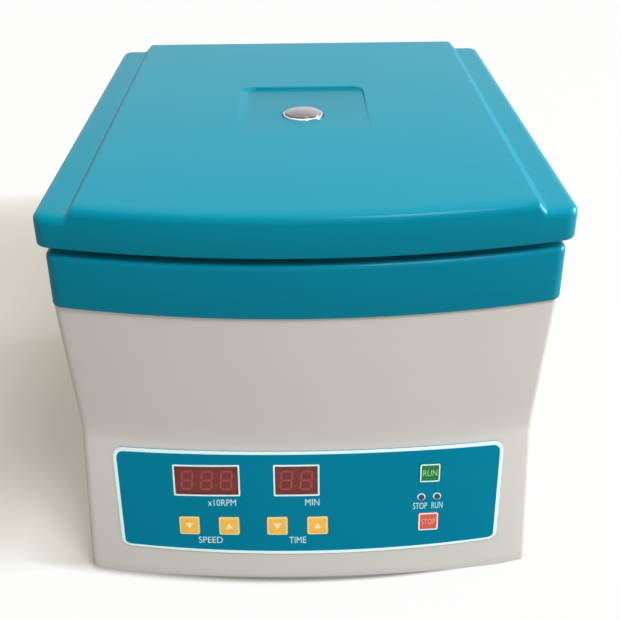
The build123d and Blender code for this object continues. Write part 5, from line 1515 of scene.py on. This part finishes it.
class FrontPanel:
    """Everything on the leaning front."""

    keys = (
        Key("speed_down_key", -78.1, 51.0, ORANGE_KEY, Glyph.DOWN),
        Key("speed_up_key", -52.0, 51.0, ORANGE_KEY, Glyph.UP),
        Key("time_down_key", -20.8, 51.0, ORANGE_KEY, Glyph.DOWN),
        Key("time_up_key", 5.1, 51.0, ORANGE_KEY, Glyph.UP),
        Key("run_key", 77.4, 87.6, GREEN_KEY, Glyph.WORD, "RUN", LEAF_INK),
        Key("stop_key", 77.4, 51.0, RED_KEY, Glyph.WORD, "STOP", CORAL_INK),
    )
    displays = (Display("speed", -65.4, 43.0, 3), Display("time", -8.0, 29.0, 2))
    lamps = (Lamp("stop_lamp_ring", 72.2), Lamp("run_lamp_ring", 82.6))
    words = (
        Word("word_speed_unit", "x10RPM", -56.0, 68.7, 18.2, 4.9),
        Word("word_time_unit", "MIN", 1.9, 68.7, 9.0, 4.9),
        Word("word_speed", "SPEED", -64.6, 40.1, 15.9, 4.8),
        Word("word_time", "TIME", -7.8, 40.1, 10.9, 4.8),
        Word("word_stop", "STOP", 71.6, 63.2, 9.2, 4.8),
        Word("word_run", "RUN", 82.9, 63.2, 7.3, 4.8),
    )

    def openings(self) -> list[tuple[float, float, float, float]]:
        """Openings of the overlay, each a middle, a half width and a half height."""
        half = self.keys[0].side / 2 + 0.25
        found = [(key.across, key.row, half, half) for key in self.keys]
        found += [(d.across, d.row, d.width / 2 + 0.05, d.height / 2 + 0.05) for d in self.displays]
        return found + [(lamp.across, lamp.row, lamp.radius, lamp.radius) for lamp in self.lamps]

    def wall_openings(self, play: float = 1.0) -> list[tuple[float, float, float, float]]:
        """Openings of the wall behind, a little wider, each as its reach across and in height."""
        found = []
        for across, row, half_w, half_h in self.openings():
            middle = row - across**2 / (2 * FACE.row_radius)
            tall = half_h + play + abs(across) * half_w / FACE.row_radius
            found.append((across - half_w - play, across + half_w + play, middle - tall, middle + tall))
        return found

    def build(self) -> None:
        """Overlay first, then what sits in it and on it."""
        Overlay().build(self.openings())
        for part in (*self.displays, *self.keys, *self.lamps, *self.words):
            part.build()


# ------------------------------------------------------------------ studio
@dataclass(frozen=True)
class SoftLamp:
    """Square soft lamp that faces the middle of the machine, with its place and size in metres."""

    name: str
    place: tuple[float, float, float]
    size: float
    watts: float
    warmth: Colour = (255, 255, 255)
    aim: tuple[float, float, float] = (0.0, 0.0, 0.13)

    def build(self) -> None:
        """Hang the lamp."""
        data = bpy.data.lights.new(self.name, "AREA")
        data.shape = "SQUARE"
        data.size = self.size
        data.energy = self.watts
        data.color = linear(self.warmth)[:3]
        turn = (Vector(self.aim) - Vector(self.place)).to_track_quat("-Z", "Y").to_matrix().to_4x4()
        put(self.name, data).matrix_world = Matrix.Translation(self.place) @ turn


@dataclass(frozen=True)
class Studio:
    """Pale floor, soft lamps and the camera."""

    focal_mm: float = 57.75
    camera_mm: tuple[float, float, float] = (-4.67, -678.5, 478.4)
    pitch: float = 0.49572
    yaw: float = -0.012398
    roll: float = -0.009122
    air: float = 0.32
    shade: Colour = (255, 247, 232)
    shade_middle: tuple[float, float] = (-260.0, 130.0)
    shade_reach: tuple[float, float, float, float] = (430.0, 600.0, 300.0, 420.0)
    stand_inset: tuple[float, float] = (4.0, 15.0)
    contact_end: float = 13.0
    contact_right: float = 6.0
    contact_left: float = 55.0
    glow: tuple[float, float, float] = (0.2, 0.8, 0.97)
    # Colour of the painted glow where it is least, which tints the shade warm.
    warm_glow: Colour = (255, 250, 234)
    table_reach: float = 6.0
    table: tuple[Colour, Colour] = ((164, 163, 160), (168, 167, 164))
    lamps: tuple[SoftLamp, ...] = (
        SoftLamp("key_lamp", (0.62, -1.2, 1.9), 0.7, 42.5, (250, 252, 255)),
        SoftLamp("side_lamp", (2.0, 0.4, 0.5), 0.8, 60.0),
        SoftLamp("front_lamp", (0.0, -2.0, 0.7), 1.2, 3.0, (246, 251, 255)),
        SoftLamp("top_lamp", (0.0, 0.3, 2.2), 2.2, 38.0, (255, 245, 226)),
    )

    def camera(self) -> None:
        """Camera from its place, how far it looks down, its turn about the upright and its roll."""
        data = bpy.data.cameras.new("camera")
        data.lens = self.focal_mm
        data.sensor_width = 36.0
        data.clip_start = 0.01
        camera = put("camera", data)
        turn = Matrix.Rotation(self.yaw, 3, "Z")
        forward = turn @ Vector((0, math.cos(self.pitch), -math.sin(self.pitch)))
        up = turn @ Vector((0, math.sin(self.pitch), math.cos(self.pitch)))
        right = turn @ Vector((1, 0, 0))
        rolled_right = right * math.cos(self.roll) + up * math.sin(self.roll)
        rolled_up = up * math.cos(self.roll) - right * math.sin(self.roll)
        pose = Matrix((rolled_right, rolled_up, -forward)).transposed().to_4x4()
        pose.translation = Vector(self.camera_mm) * MM
        camera.matrix_world = pose
        bpy.context.scene.camera = camera

    def world(self) -> None:
        """Plain surroundings, slightly warm as light, that look white to the camera and in reflections."""
        world = bpy.data.worlds.new("studio_air")
        bpy.context.scene.world = world
        graph = Graph(world)
        path = graph.node("ShaderNodeLightPath")
        through = Signal(graph, path.outputs["Is Transmission Ray"])
        seen = Signal(graph, path.outputs["Is Camera Ray"]).highest(through)
        mirrored = Signal(graph, path.outputs["Is Glossy Ray"]).highest(seen)
        inputs = {
            "Color": graph.between(mirrored, self.shade, (255, 255, 255)),
            "Strength": mirrored * (1.0 - self.air) + self.air,
        }
        air = graph.node("ShaderNodeBackground", None, inputs)
        graph.node("ShaderNodeOutputWorld", None, {"Surface": air.outputs[0]})

    def floor(self) -> None:
        """Broad white table that keeps the machine's shadow.

        To the camera it glows by a share that grows with (r / reach)6 from the middle of the soft shade, and
        that falls to its least close to the machine, where the contact shade is. This glow is painted light:
        it whitens the lamps' shadow away from the machine, tints it warm where it is least, and its fall near
        the machine paints part of the contact shade.
        """
        square = np.array([(-1.0, -1.0, 0.0), (1.0, -1.0, 0.0), (1.0, 1.0, 0.0), (-1.0, 1.0, 0.0)])
        corners = square * self.table_reach
        floor = mesh_object("table_top", corners, [[0, 1, 2, 3]], 30.0)
        graph = Graph.of_material("white_table")
        paper = graph.between(graph.noise(3.0, 3.0), *self.table)
        matt = graph.node("ShaderNodeBsdfDiffuse", None, {"Color": paper})
        across, along = graph.along("X"), graph.along("Y")
        right, left, front, back = self.shade_reach
        middle_x, middle_y = self.shade_middle
        sideways = ((across - middle_x) / right).highest((across - middle_x) / -left)
        lengthways = ((along - middle_y) / back).highest((along - middle_y) / -front)
        away = sideways * sideways + lengthways * lengthways
        side, end = CASING.half_width - self.stand_inset[0], CASING.half_depth - self.stand_inset[1]
        ahead = (across * across / (2 * CASING.bow) - along - end) / self.contact_end
        beside = ((across - side) / self.contact_right).highest((across + side) / -self.contact_left)
        clear = ahead.highest(beside).highest((along - end) / self.contact_end).highest(0.0).lowest(1.0)
        least, rise, most = self.glow
        far = (away * away * away * clear * rise + least).lowest(most)
        # Painted light: warm where the glow is least, white where it is most.
        white = graph.between(far, self.warm_glow, (255, 255, 255))
        glow = graph.node("ShaderNodeEmission", None, {"Color": white, "Strength": 1.0})
        seen = Signal(graph, graph.node("ShaderNodeLightPath").outputs["Is Camera Ray"]) * far
        both = graph.node("ShaderNodeMixShader", None, {0: seen, 1: matt.outputs[0], 2: glow.outputs[0]})
        graph.node("ShaderNodeOutputMaterial", None, {"Surface": both.outputs[0]})
        floor.data.materials.append(graph.owner)

    def build(self) -> None:
        """Camera, lamps, surroundings, table."""
        self.camera()
        for lamp in self.lamps:
            lamp.build()
        self.world()
        self.floor()
        bpy.context.scene.view_settings.view_transform = "Standard"


def main() -> None:
    """Build everything in order."""
    logging.basicConfig(level=logging.INFO, format="%(name)s: %(message)s")
    Studio().build()
    dress_nodes()
    panel = FrontPanel()
    HousingShell().build(panel.wall_openings())
    CollarShell().build()
    LidShell().build()
    SightGlass().build()
    panel.build()


if __name__ == "__main__":
    main()
